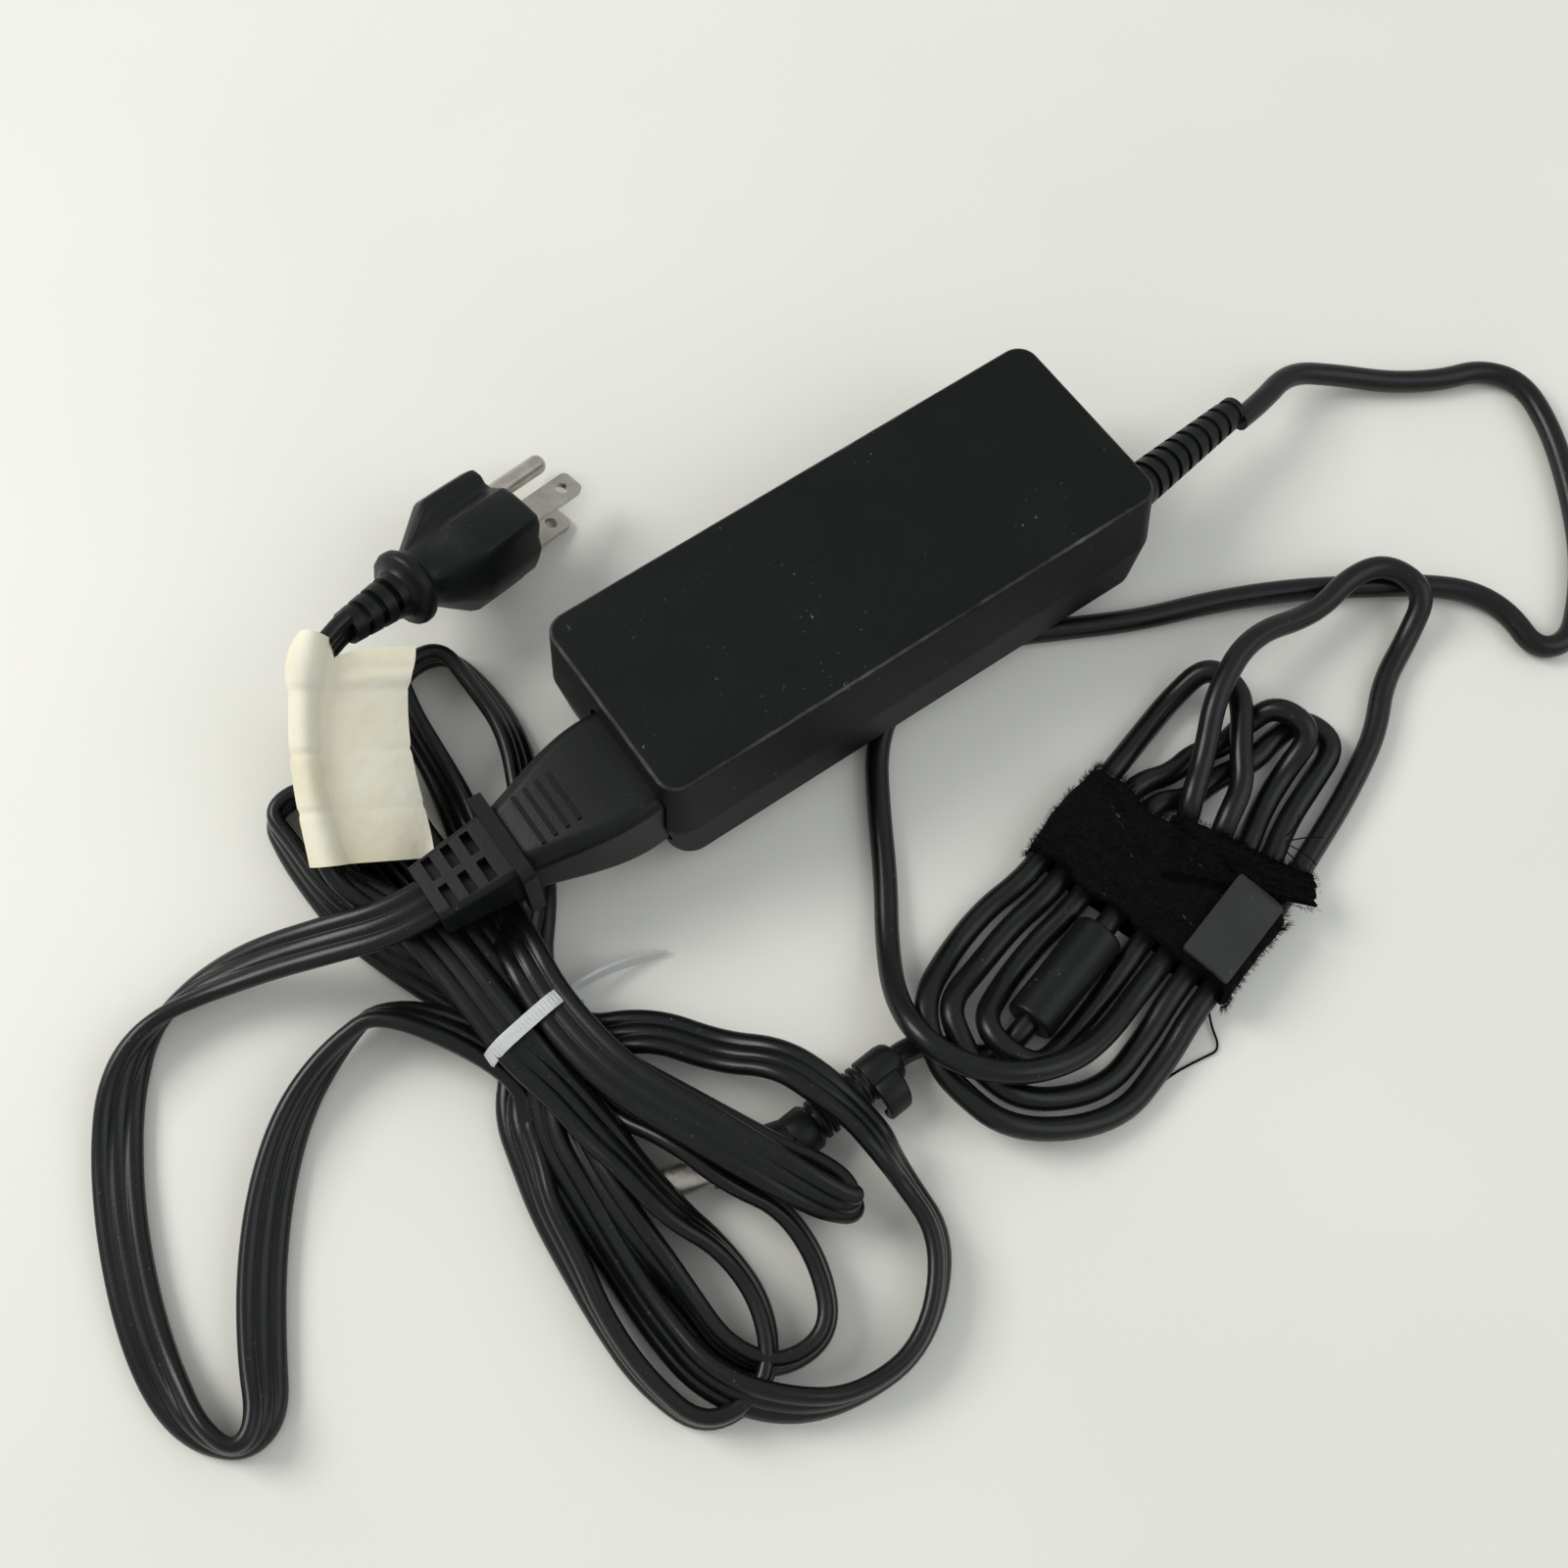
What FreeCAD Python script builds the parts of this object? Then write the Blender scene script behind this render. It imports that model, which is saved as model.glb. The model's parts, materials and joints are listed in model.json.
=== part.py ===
"""Laptop power adapter: brick, mains lead and low-voltage lead, in millimetres.

Frame: +X runs along the brick from its mains inlet to its low-voltage end, +Y to its far side, +Z up.
The origin is under the middle of the brick, on the surface that everything lies on. The brick is drawn
level, with its own middle at the origin, and seat() then tips it onto the cord that lies under its near side.
"""
import FreeCAD, Part
import math
import os
from FreeCAD import Matrix, Vector

os.makedirs("parts", exist_ok=True)

# Brick shells
TOP_LENGTH = 132.0
TOP_WIDTH = 51.0
HEIGHT = 34.0
BELLY_HEIGHT = 15.0
BELLY_OUT = 1.3
END_TUCK = 2.2
SIDE_TUCK = 1.0
TOP_CORNER = 5.0
BELLY_CORNER = 6.0
TOP_EDGE_ROUND = 1.0
BOTTOM_EDGE_ROUND = 1.2
WALL = 2.2
TONGUE_RISE = 1.8
TONGUE_THICK = 1.0
FIT = 0.15
CLEAR = 0.3

# Mains inlet, with three flat pins, and the connector nose that goes into it
INLET_Y = -8.8
AXIS_HEIGHT = 17.0
NOSE_WIDTH = 23.6
NOSE_HEIGHT = 15.6
NOSE_LENGTH = 15.0
NOSE_BEVEL = 4.4
INLET_WALL = 1.7
INLET_BACK = 2.4
INLET_RECESS = 1.9
PIN_WIDTH = 4.0
PIN_THICK = 2.0
PIN_LENGTH = 12.5
PIN_TAIL = 4.0
PIN_SPACING = 7.0
PIN_DROP = 2.0

# Circuit board and what stands on it
BOARD_LENGTH = 103.0
BOARD_WIDTH = 43.0
BOARD_THICK = 1.6
BOARD_HEIGHT = 7.0
SHEET_THICK = 0.5
POST_RADIUS = 2.2
POST_INSET = 4.5
HEAT_PLATE_THICK = 1.0
HEAT_SINK_THICK = 2.0
HEAT_SINK_HEIGHT = 19.0
BULK_RADIUS = 8.8
BULK_LENGTH = 28.0
FUSE_RADIUS = 2.6
FUSE_CAP_RADIUS = 3.2
FUSE_LENGTH = 16.2
FUSE_CAP_LENGTH = 5.1
LIMITER_RADIUS = 5.0
LIMITER_THICK = 4.0
X_CAPACITOR_SIZE = (18.0, 9.0, 14.0)
CHOKE_RADIUS = 9.5
CHOKE_BORE_RADIUS = 5.2
CHOKE_HEIGHT = 11.0
COIL_WIDTH = 6.0
COIL_RADIUS = 7.4
COIL_PLATE = 1.4
BRIDGE_SIZE = (4.0, 15.0, 13.0)
DEVICE_WIDTH = 10.0
DEVICE_THICK = 4.5
DEVICE_HEIGHT = 15.0
CAN_RADIUS = 5.0
CAN_HEIGHT = 17.0
OPTOCOUPLER_SIZE = (6.5, 4.6, 3.6)
Y_CAPACITOR_RADIUS = 4.2
Y_CAPACITOR_THICK = 3.2
SINK_INSET = 1.5
LEAD_RADIUS = 1.2
CORE_DEPTH = 13.0
CORE_WIDTH = 29.0
CORE_HEIGHT = 20.0
CORE_LEG = 9.0
CORE_SIDE = 4.6
CORE_YOKE = 4.0

# Low-voltage cord, its strain relief and its plug
DC_CORD = 5.5
DC_EXIT_Y = -14.5
RELIEF_LENGTH = 40.0
RELIEF_ROOT_RADIUS = 5.4
RELIEF_TIP_RADIUS = 3.7
RELIEF_RIBS = 9
RELIEF_YAW = 8.5
RELIEF_DIP = 10.5
RELIEF_FLANGE = 1.4
RELIEF_START = 1.2
FERRITE_RADIUS = 5.9
FERRITE_LENGTH = 27.0
FERRITE_LEAD = 4.0
FERRITE_SKIN = 1.1
PLUG_AXIS_HEIGHT = 5.6
PLUG_BODY_RADIUS = 5.4
PLUG_BODY_LENGTH = 18.5
BARREL_RADIUS = 3.7
BARREL_BORE = 5.0
BARREL_LENGTH = 12.0
BARREL_ROOT_RADIUS = 3.2
BARREL_ROOT_LENGTH = 7.0
CENTRE_PIN_RADIUS = 0.45
COLLAR_RADIUS = 6.6

# Loop strap on the low-voltage hank
STRAP_WIDTH = 24.0
STRAP_THICK = 1.5
TAB_LENGTH = 22.0
TAB_WIDTH = 11.0
TAB_THICK = 1.2

# Mains cord, connector and three-pin plug
AC_CORD = 5.8
BODY_WIDTH = 27.4
BODY_HEIGHT = 20.4
BODY_LENGTH = 31.0
FLANGE_LENGTH = 3.2
AC_RELIEF_LENGTH = 18.0
PLUG_YAW = 14.0
PLUG_PITCH = 20.0
BLADE_WIDTH = 6.35
BLADE_THICK = 1.5
BLADE_LENGTH = 17.5
BLADE_SPACING = 12.7
PRONG_ROOT = 12.0
GROUND_RADIUS = 2.375
GROUND_ROOT_RADIUS = 1.9
GROUND_TIP_ROUND = 1.9
GROUND_LENGTH = 21.0
GROUND_OFFSET = 11.9
TIE_WIDTH = 2.8
TIE_THICK = 1.1
TIE_TAIL = 22.0
LABEL_LENGTH = 39.0
LABEL_WIDTH = 18.0
LABEL_THICK = 0.5

# The brick's far bottom edge stays on the surface and its near side lies on the cord
TUCK_DEPTH = 8.2
FLAT_HALF_WIDTH = TOP_WIDTH / 2 + BELLY_OUT - SIDE_TUCK
PIVOT_Y = FLAT_HALF_WIDTH - BOTTOM_EDGE_ROUND
TILT = 2 * math.atan((DC_CORD / 2 + CLEAR) / (PIVOT_Y + FLAT_HALF_WIDTH - TUCK_DEPTH))

END_X = TOP_LENGTH / 2 + BELLY_OUT * (HEIGHT - AXIS_HEIGHT) / (HEIGHT - BELLY_HEIGHT)
INLET_FRONT_X = -END_X + INLET_RECESS
NOSE_FRONT_X = INLET_FRONT_X - CLEAR
CAVITY_DEPTH = NOSE_LENGTH + 1.0
INLET_REAR_X = INLET_FRONT_X + CAVITY_DEPTH + INLET_BACK
BOARD_TOP = BOARD_HEIGHT + BOARD_THICK
BOARD_X0 = INLET_REAR_X + 1.0
BOARD_X1 = BOARD_X0 + BOARD_LENGTH
COVER_INSIDE = HEIGHT - WALL

SHAPES = {}


def save(name, shape):
    """Write one node's solids and keep them for the sums below."""
    SHAPES[name] = shape
    shape.exportStep("parts/" + name + ".step")


def box(x0, x1, y0, y1, z0, z1):
    """Box between two corners."""
    return Part.makeBox(x1 - x0, y1 - y0, z1 - z0, Vector(x0, y0, z0))


def rod(start, end, radius, tip_radius=None):
    """Round bar or cone between two points."""
    axis = Vector(*end) - Vector(*start)
    if tip_radius is None or abs(tip_radius - radius) < 1e-6:
        return Part.makeCylinder(radius, axis.Length, Vector(*start), axis)
    return Part.makeCone(radius, tip_radius, axis.Length, Vector(*start), axis)


def pipe(start, end, radius, bore):
    """Round tube between two points."""
    return rod(start, end, radius).cut(rod(start, end, bore))


def group(solids):
    """Separate solids that share a node."""
    return Part.makeCompound(solids)


def rounded_outline(half_a, half_b, radius, place):
    """Closed outline of four straight sides and four arcs; place turns (a, b) into a point."""
    edges = []
    corners = ((1, 1), (-1, 1), (-1, -1), (1, -1))
    arcs = []
    for sign_a, sign_b in corners:
        centre = (sign_a * (half_a - radius), sign_b * (half_b - radius))
        first, last = (sign_a, 0), (0, sign_b)
        if sign_a * sign_b < 0:
            first, last = last, first
        middle = (sign_a * math.sqrt(0.5), sign_b * math.sqrt(0.5))
        arcs.append([place(centre[0] + radius * way[0], centre[1] + radius * way[1])
                     for way in (first, middle, last)])
    for number, arc in enumerate(arcs):
        edges.append(Part.Arc(*arc).toShape())
        edges.append(Part.LineSegment(arc[2], arcs[(number + 1) % 4][0]).toShape())
    return Part.Wire(edges)


def shell_outline(height, inset):
    """Outline of the brick's wall at a height, drawn in by an inset."""
    if height >= BELLY_HEIGHT:
        rise = (height - BELLY_HEIGHT) / (HEIGHT - BELLY_HEIGHT)
        out_x = out_y = BELLY_OUT * (1 - rise)
        corner = BELLY_CORNER + (TOP_CORNER - BELLY_CORNER) * rise
    else:
        fall = 1 - height / BELLY_HEIGHT
        out_x = BELLY_OUT - END_TUCK * fall
        out_y = BELLY_OUT - SIDE_TUCK * fall
        corner = BELLY_CORNER
    return rounded_outline(TOP_LENGTH / 2 + out_x - inset, TOP_WIDTH / 2 + out_y - inset,
                           max(corner - inset, 1.0), lambda a, b: Vector(a, b, height))


def wall_solid(low, high, inset):
    """Solid between two heights of the brick's wall."""
    return Part.makeLoft([shell_outline(low, inset), shell_outline(high, inset)], True, True)


def flat_edges(shape, height):
    """Edges of a shape that lie in a level plane."""
    return [edge for edge in shape.Edges
            if abs(edge.BoundBox.ZMin - height) < 1e-3 and abs(edge.BoundBox.ZMax - height) < 1e-3]


def end_outline(x, half_y, half_z, radius):
    """Rounded outline square to the brick's length, about the inlet's axis."""
    return rounded_outline(half_y, half_z, radius, lambda a, b: Vector(x, INLET_Y + a, AXIS_HEIGHT + b))


def nose_outline(x, extra):
    """Connector nose outline: a rectangle whose two upper corners are bevelled."""
    a = NOSE_WIDTH / 2 + extra
    b = NOSE_HEIGHT / 2 + extra
    bevel = NOSE_BEVEL
    corners = [(-a, -b), (a, -b), (a, b - bevel), (a - bevel, b), (bevel - a, b), (-a, b - bevel)]
    points = [Vector(x, INLET_Y + y, AXIS_HEIGHT + z) for y, z in corners]
    return Part.makePolygon(points + points[:1])


def nose_solid(x0, x1, extra):
    """Prism of the connector nose between two places along the brick."""
    return Part.Face(nose_outline(x0, extra)).extrude(Vector(x1 - x0, 0, 0))


def pin_places():
    """Middle of each inlet pin: two live pins and the earth pin above them."""
    return [(INLET_Y - PIN_SPACING, AXIS_HEIGHT - PIN_DROP), (INLET_Y, AXIS_HEIGHT + PIN_DROP),
            (INLET_Y + PIN_SPACING, AXIS_HEIGHT - PIN_DROP)]


def pin_box(place, x0, x1, extra):
    """Upright flat bar about a pin's middle."""
    y, z = place
    half_y = PIN_THICK / 2 + extra
    half_z = PIN_WIDTH / 2 + extra
    return box(x0, x1, y - half_y, y + half_y, z - half_z, z + half_z)


def board_posts():
    """Places of the four posts that carry the circuit board."""
    return [(x, y) for x in (BOARD_X0 + POST_INSET, BOARD_X1 - POST_INSET)
            for y in (-BOARD_WIDTH / 2 + POST_INSET, BOARD_WIDTH / 2 - POST_INSET)]


def seat(shape):
    """Tip a piece of the level brick onto the cord and centre the brick over the origin."""
    moved = shape.copy()
    moved.rotate(Vector(0, PIVOT_Y, 0), Vector(1, 0, 0), -math.degrees(TILT))
    moved.translate(Vector(0, SEAT_SHIFT_Y, SEAT_SHIFT_Z))
    return moved


def seat_point(x, y, z):
    """Where a point of the level brick ends up."""
    across = y - PIVOT_Y
    turned_y = PIVOT_Y + across * math.cos(TILT) + z * math.sin(TILT)
    turned_z = -across * math.sin(TILT) + z * math.cos(TILT)
    return Vector(x, turned_y + SEAT_SHIFT_Y, turned_z + SEAT_SHIFT_Z)


def seat_shifts(case, cover):
    """Shifts that stand the tipped shells on the surface and centre them over the origin."""
    both = Part.makeCompound([case, cover])
    both.rotate(Vector(0, PIVOT_Y, 0), Vector(1, 0, 0), -math.degrees(TILT))
    bounds = both.optimalBoundingBox(False)
    return -(bounds.YMin + bounds.YMax) / 2, -bounds.ZMin


def relief_hole():
    """Opening in both shells for the low-voltage strain relief."""
    y, z = DC_EXIT_Y, AXIS_HEIGHT
    return rod((END_X - WALL - 4, y, z), (END_X + 4, y, z), RELIEF_ROOT_RADIUS - 0.9 + FIT)


def inlet_hole():
    """Opening in both shells for the inlet housing and the connector's shoulder."""
    half_y = BODY_WIDTH / 2 + INLET_WALL / 2
    half_z = BODY_HEIGHT / 2 + INLET_WALL / 2
    outline = end_outline(-END_X - 3, half_y, half_z, 3.2)
    return Part.Face(outline).extrude(Vector(9, 0, 0))


def make_bottom_case():
    """Lower shell: floor, lower wall, joint tongue and board posts."""
    outer = wall_solid(0, BELLY_HEIGHT, 0)
    outer = outer.makeFillet(BOTTOM_EDGE_ROUND, flat_edges(outer, 0))
    case = outer.cut(wall_solid(WALL, BELLY_HEIGHT + 0.01, WALL))
    tongue_inset = WALL + FIT
    root = BELLY_HEIGHT - 2.5
    tongue = wall_solid(root, BELLY_HEIGHT + TONGUE_RISE, tongue_inset)
    tongue = tongue.cut(wall_solid(root - 0.1, BELLY_HEIGHT + TONGUE_RISE + 0.1, tongue_inset + TONGUE_THICK))
    rim = wall_solid(root, BELLY_HEIGHT - 0.4, WALL - 0.3)
    rim = rim.cut(wall_solid(root - 0.1, BELLY_HEIGHT, tongue_inset + TONGUE_THICK))
    case = case.fuse([tongue, rim])
    for x, y in board_posts():
        case = case.fuse(rod((x, y, WALL - 0.2), (x, y, BOARD_HEIGHT), POST_RADIUS))
    return case.cut([inlet_hole(), relief_hole()]).removeSplitter()


def make_top_cover():
    """Upper shell: bare top face and upper wall."""
    outer = wall_solid(BELLY_HEIGHT, HEIGHT, 0)
    outer = outer.makeFillet(TOP_EDGE_ROUND, flat_edges(outer, HEIGHT))
    cover = outer.cut(wall_solid(BELLY_HEIGHT - 0.01, COVER_INSIDE, WALL))
    return cover.cut([inlet_hole(), relief_hole()]).removeSplitter()


def make_inlet_housing():
    """Inlet socket block with its cavity, and holes in its back for the pins."""
    half_y = BODY_WIDTH / 2 + INLET_WALL / 2 - FIT
    half_z = BODY_HEIGHT / 2 + INLET_WALL / 2 - FIT
    block = Part.Face(end_outline(INLET_FRONT_X, half_y, half_z, 3.0)).extrude(
        Vector(INLET_REAR_X - INLET_FRONT_X, 0, 0))
    cuts = [nose_solid(INLET_FRONT_X - 1, INLET_FRONT_X + CAVITY_DEPTH, 0.4)]
    cuts += [pin_box(place, INLET_FRONT_X, INLET_REAR_X + 1, 0) for place in pin_places()]
    return block.cut(cuts)


def make_inlet_pins():
    """Three flat pins with bevelled tips and tails behind the block."""
    tip_x = INLET_FRONT_X + CAVITY_DEPTH - PIN_LENGTH
    pins = []
    for place in pin_places():
        pin = pin_box(place, tip_x, INLET_REAR_X + PIN_TAIL, 0)
        tip = [edge for edge in pin.Edges if abs(edge.BoundBox.XMax - tip_x) < 1e-6]
        pins.append(pin.makeChamfer(0.6, tip))
    return group(pins)


def make_inlet_leads():
    """Wires from the pins' tails down to the board."""
    leads = []
    for y, z in pin_places():
        x = INLET_REAR_X + PIN_TAIL
        path = cord_wire([Vector(x, y, z), Vector(x + 3.5, y, z), Vector(x + 3.5, y, BOARD_TOP)])[0]
        leads.append(swept_tube(path, 0.9))
    return group(leads)


def make_board():
    """Circuit board with a hole at each post and pads' worth of clearance round its edge."""
    board = box(BOARD_X0, BOARD_X1, -BOARD_WIDTH / 2, BOARD_WIDTH / 2, BOARD_HEIGHT, BOARD_TOP)
    corners = [edge for edge in board.Edges if edge.Length < BOARD_THICK + 1e-6]
    board = board.makeFillet(2.0, corners)
    for x, y in board_posts():
        board = board.cut(rod((x, y, BOARD_HEIGHT - 1), (x, y, BOARD_TOP + 1), 1.1))
    return board


def make_insulation_sheet():
    """Insulating sheet on the case floor, cut out round the posts."""
    sheet = box(BOARD_X0 - 2, BOARD_X1 + 1, -BOARD_WIDTH / 2, BOARD_WIDTH / 2, WALL, WALL + SHEET_THICK)
    for x, y in board_posts():
        sheet = sheet.cut(rod((x, y, 0), (x, y, WALL + 2), POST_RADIUS + CLEAR))
    return sheet


def standing(x, y, size_x, size_y, height):
    """Block that stands on the board, about a middle."""
    return box(x - size_x / 2, x + size_x / 2, y - size_y / 2, y + size_y / 2, BOARD_TOP, BOARD_TOP + height)


def rounded_standing(x, y, size_x, size_y, height, radius):
    """Block that stands on the board with rounded upright edges."""
    block = standing(x, y, size_x, size_y, height)
    upright = [edge for edge in block.Edges if abs(edge.Length - height) < 1e-6]
    return block.makeFillet(radius, upright)


def make_mains_side():
    """Pieces on the mains side of the board, name by name."""
    x0 = BOARD_X0
    fuse_y = BOARD_WIDTH / 2 - 8
    fuse_z = BOARD_TOP + FUSE_CAP_RADIUS
    fuse_x = x0 + 8.9
    fuse_end = fuse_x + FUSE_LENGTH
    fuse = rod((fuse_x, fuse_y, fuse_z), (fuse_end, fuse_y, fuse_z), FUSE_RADIUS)
    caps = [rod((fuse_x, fuse_y, fuse_z), (fuse_x + FUSE_CAP_LENGTH, fuse_y, fuse_z), FUSE_CAP_RADIUS),
            rod((fuse_end - FUSE_CAP_LENGTH, fuse_y, fuse_z), (fuse_end, fuse_y, fuse_z), FUSE_CAP_RADIUS)]
    save("fuse", seat(fuse.fuse(caps)))
    limiter_x = x0 + 29
    limiter_z = BOARD_TOP + LIMITER_RADIUS
    limiter = rod((limiter_x, fuse_y, limiter_z), (limiter_x + LIMITER_THICK, fuse_y, limiter_z), LIMITER_RADIUS)
    save("surge_limiter", seat(limiter))
    save("x_capacitor", seat(rounded_standing(x0 + 19, -15, *X_CAPACITOR_SIZE, 0.8)))
    choke_x, choke_y = x0 + 18, 0.4
    choke_top = BOARD_TOP + CHOKE_HEIGHT
    choke = pipe((choke_x, choke_y, BOARD_TOP), (choke_x, choke_y, choke_top), CHOKE_RADIUS, CHOKE_BORE_RADIUS)
    save("line_choke", seat(choke))
    windings = []
    coil_y0, coil_y1 = choke_y - COIL_WIDTH / 2, choke_y + COIL_WIDTH / 2
    for side in (-1, 1):
        coil_x = choke_x + side * (CHOKE_RADIUS + CHOKE_BORE_RADIUS) / 2
        middle_z = BOARD_TOP + CHOKE_HEIGHT / 2
        coil = pipe((coil_x, coil_y0, middle_z), (coil_x, coil_y1, middle_z), COIL_RADIUS, COIL_RADIUS - 1.0)
        crown = coil.common(box(choke_x - 30, choke_x + 30, -30, 30, choke_top, choke_top + COIL_RADIUS))
        plate = box(coil_x - 3.4, coil_x + 3.4, coil_y0, coil_y1, choke_top, choke_top + COIL_PLATE)
        windings.append(plate.fuse(crown))
    save("choke_windings", seat(group(windings)))
    save("bridge_rectifier", seat(rounded_standing(x0 + 37, 13.5, *BRIDGE_SIZE, 0.6)))
    bulk_y = -BOARD_WIDTH / 2 + BULK_RADIUS + 2
    bulk_z = BOARD_TOP + BULK_RADIUS
    bulk = rod((x0 + 30.4, bulk_y, bulk_z), (x0 + 30.4 + BULK_LENGTH, bulk_y, bulk_z), BULK_RADIUS)
    save("bulk_capacitor", seat(bulk.makeFillet(1.0, bulk.Edges)))


def make_power_stage():
    """Heat sinks, switching devices and transformer."""
    x0 = BOARD_X0
    sink_y = BOARD_WIDTH / 2 - SINK_INSET
    sink = box(x0 + 42, x0 + 80, sink_y - HEAT_SINK_THICK, sink_y, BOARD_TOP, BOARD_TOP + HEAT_SINK_HEIGHT)
    save("primary_heatsink", seat(sink))
    device_z = BOARD_TOP + 1.5
    device_y = sink_y - HEAT_SINK_THICK
    device = box(x0 + 46, x0 + 46 + DEVICE_WIDTH, device_y - DEVICE_THICK, device_y,
                 device_z, device_z + DEVICE_HEIGHT)
    save("power_transistor", seat(device))
    core_x, core_y = x0 + 71, -1.0
    half_width = CORE_WIDTH / 2
    core = box(core_x - CORE_DEPTH / 2, core_x + CORE_DEPTH / 2, core_y - half_width, core_y + half_width,
               BOARD_TOP, BOARD_TOP + CORE_HEIGHT)
    window_low = BOARD_TOP + CORE_YOKE
    window_high = BOARD_TOP + CORE_HEIGHT - CORE_YOKE
    window_out = half_width - CORE_SIDE
    for side in (-1, 1):
        near, far = sorted((core_y + side * CORE_LEG / 2, core_y + side * window_out))
        core = core.cut(box(core_x - 20, core_x + 20, near, far, window_low, window_high))
    save("transformer_core", seat(core))
    wrap = window_out - CORE_LEG / 2 - 2 * CLEAR
    low, high = window_low + 0.02, window_high - 0.02
    inner_x, inner_y = CORE_DEPTH / 2 + FIT, CORE_LEG / 2 + FIT
    coil_face = rounded_outline(inner_x + wrap, inner_y + wrap, 4.0,
                                lambda a, b: Vector(core_x + a, core_y + b, low))
    coil = Part.Face(coil_face).extrude(Vector(0, 0, high - low))
    coil = coil.cut(box(core_x - inner_x, core_x + inner_x, core_y - inner_y, core_y + inner_y,
                        low - 1, high + 1))
    save("transformer_winding", seat(coil))
    low_sink_y = -BOARD_WIDTH / 2 + SINK_INSET
    rectifier_y = low_sink_y + HEAT_SINK_THICK
    low_sink = box(x0 + 80, x0 + 100, low_sink_y, rectifier_y, BOARD_TOP, BOARD_TOP + HEAT_SINK_HEIGHT)
    save("secondary_heatsink", seat(low_sink))
    rectifier = box(x0 + 84, x0 + 84 + DEVICE_WIDTH, rectifier_y, rectifier_y + DEVICE_THICK,
                    device_z, device_z + DEVICE_HEIGHT)
    save("output_rectifier", seat(rectifier))


def make_low_voltage_side():
    """Output capacitors, feedback parts, leads and the heat plate over everything."""
    x0 = BOARD_X0
    cans = []
    for x, y in ((x0 + 85, 14), (x0 + 96, 8)):
        can = rod((x, y, BOARD_TOP), (x, y, BOARD_TOP + CAN_HEIGHT), CAN_RADIUS)
        cans.append(can.makeFillet(0.6, can.Edges))
    save("output_capacitors", seat(group(cans)))
    save("optocoupler", seat(standing(x0 + 93, -5, *OPTOCOUPLER_SIZE)))
    disc_x, disc_z = x0 + 83.6, BOARD_TOP + Y_CAPACITOR_RADIUS
    discs = [rod((disc_x, y, disc_z), (disc_x + Y_CAPACITOR_THICK, y, disc_z), Y_CAPACITOR_RADIUS)
             for y in (-7.0, 3.0)]
    save("y_capacitors", seat(group(discs)))
    plate_z = COVER_INSIDE - HEAT_PLATE_THICK
    plate = box(BOARD_X0 + 2, BOARD_X1 - 2, -BOARD_WIDTH / 2 + 1, BOARD_WIDTH / 2 - 1, plate_z, COVER_INSIDE)
    save("heat_plate", seat(plate))
    leads = []
    for y in (DC_EXIT_Y - 1.6, DC_EXIT_Y + 1.6):
        points = [Vector(BOARD_X1 - 1.5, y, BOARD_TOP), Vector(BOARD_X1 - 1.5, y, AXIS_HEIGHT),
                  Vector(END_X - WALL - 2, y, AXIS_HEIGHT)]
        leads.append(swept_tube(cord_wire(points)[0], LEAD_RADIUS))
    save("output_leads", seat(group(leads)))


def cord_wire(points):
    """Straight runs joined by tangent arcs, each arc as large as its two runs allow.

    Returns the wire and the arcs' radii.
    """
    edges, radii = [], []
    start = points[0]
    for before, corner, after in zip(points, points[1:], points[2:]):
        way_in = (corner - before).normalize()
        way_out = (after - corner).normalize()
        half_turn = way_in.getAngle(way_out) / 2
        shorter = min((corner - before).Length, (after - corner).Length)
        radius = 0.45 * shorter / math.tan(half_turn)
        reach = radius * math.tan(half_turn)
        first = corner - way_in * reach
        last = corner + way_out * reach
        inward = (way_out - way_in).normalize()
        centre = corner + inward * (radius / math.cos(half_turn))
        middle = centre - inward * radius
        edges.append(Part.LineSegment(start, first).toShape())
        edges.append(Part.Arc(first, middle, last).toShape())
        radii.append(radius)
        start = last
    edges.append(Part.LineSegment(start, points[-1]).toShape())
    return Part.Wire(edges), radii


def biarc_edges(start, start_way, end, end_way):
    """Two arcs that leave a point one way and reach another point another way.

    Returns the edges and the arcs' radii.
    """
    span = end - start
    both = start_way + end_way
    square = 2 * (start_way.dot(end_way) - 1)
    linear = -2 * span.dot(both)
    constant = span.dot(span)
    if abs(square) < 1e-9:
        reach = -constant / linear
    else:
        root = math.sqrt(linear * linear - 4 * square * constant)
        reach = (-linear - root) / (2 * square)
        if reach < 0:
            reach = (-linear + root) / (2 * square)
    joint = (start + start_way * reach + end - end_way * reach) * 0.5
    joint_way = ((end - end_way * reach) - (start + start_way * reach)).normalize()
    edges, radii = [], []
    for first, way, last in ((start, start_way, joint), (joint, joint_way, end)):
        chord = last - first
        side = chord - way * chord.dot(way)
        if side.Length < 1e-5 * chord.Length:
            edges.append(Part.LineSegment(first, last).toShape())
            continue
        half_turn = chord.getAngle(way)
        radius = chord.Length / (2 * math.sin(half_turn))
        inward = side.normalize()
        centre = first + inward * radius
        middle = centre + (way * math.sin(half_turn) - inward * math.cos(half_turn)) * radius
        edges.append(Part.Arc(first, middle, last).toShape())
        radii.append(radius)
    return edges, radii


def hank_wire(stations):
    """Unbroken path through stations, each a point and the way the cord runs there."""
    edges, radii = [], []
    for (start, start_way), (end, end_way) in zip(stations, stations[1:]):
        more, arcs = biarc_edges(start, start_way, end, end_way)
        edges += more
        radii += arcs
    return Part.Wire(edges), radii


def swept_tube(path, radius):
    """Round tube along a smooth path."""
    first = path.OrderedEdges[0]
    start = first.valueAt(first.FirstParameter)
    way = first.tangentAt(first.FirstParameter)
    profile = Part.Wire([Part.makeCircle(radius, start, way)])
    return path.makePipeShell([profile], True, False)


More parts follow.
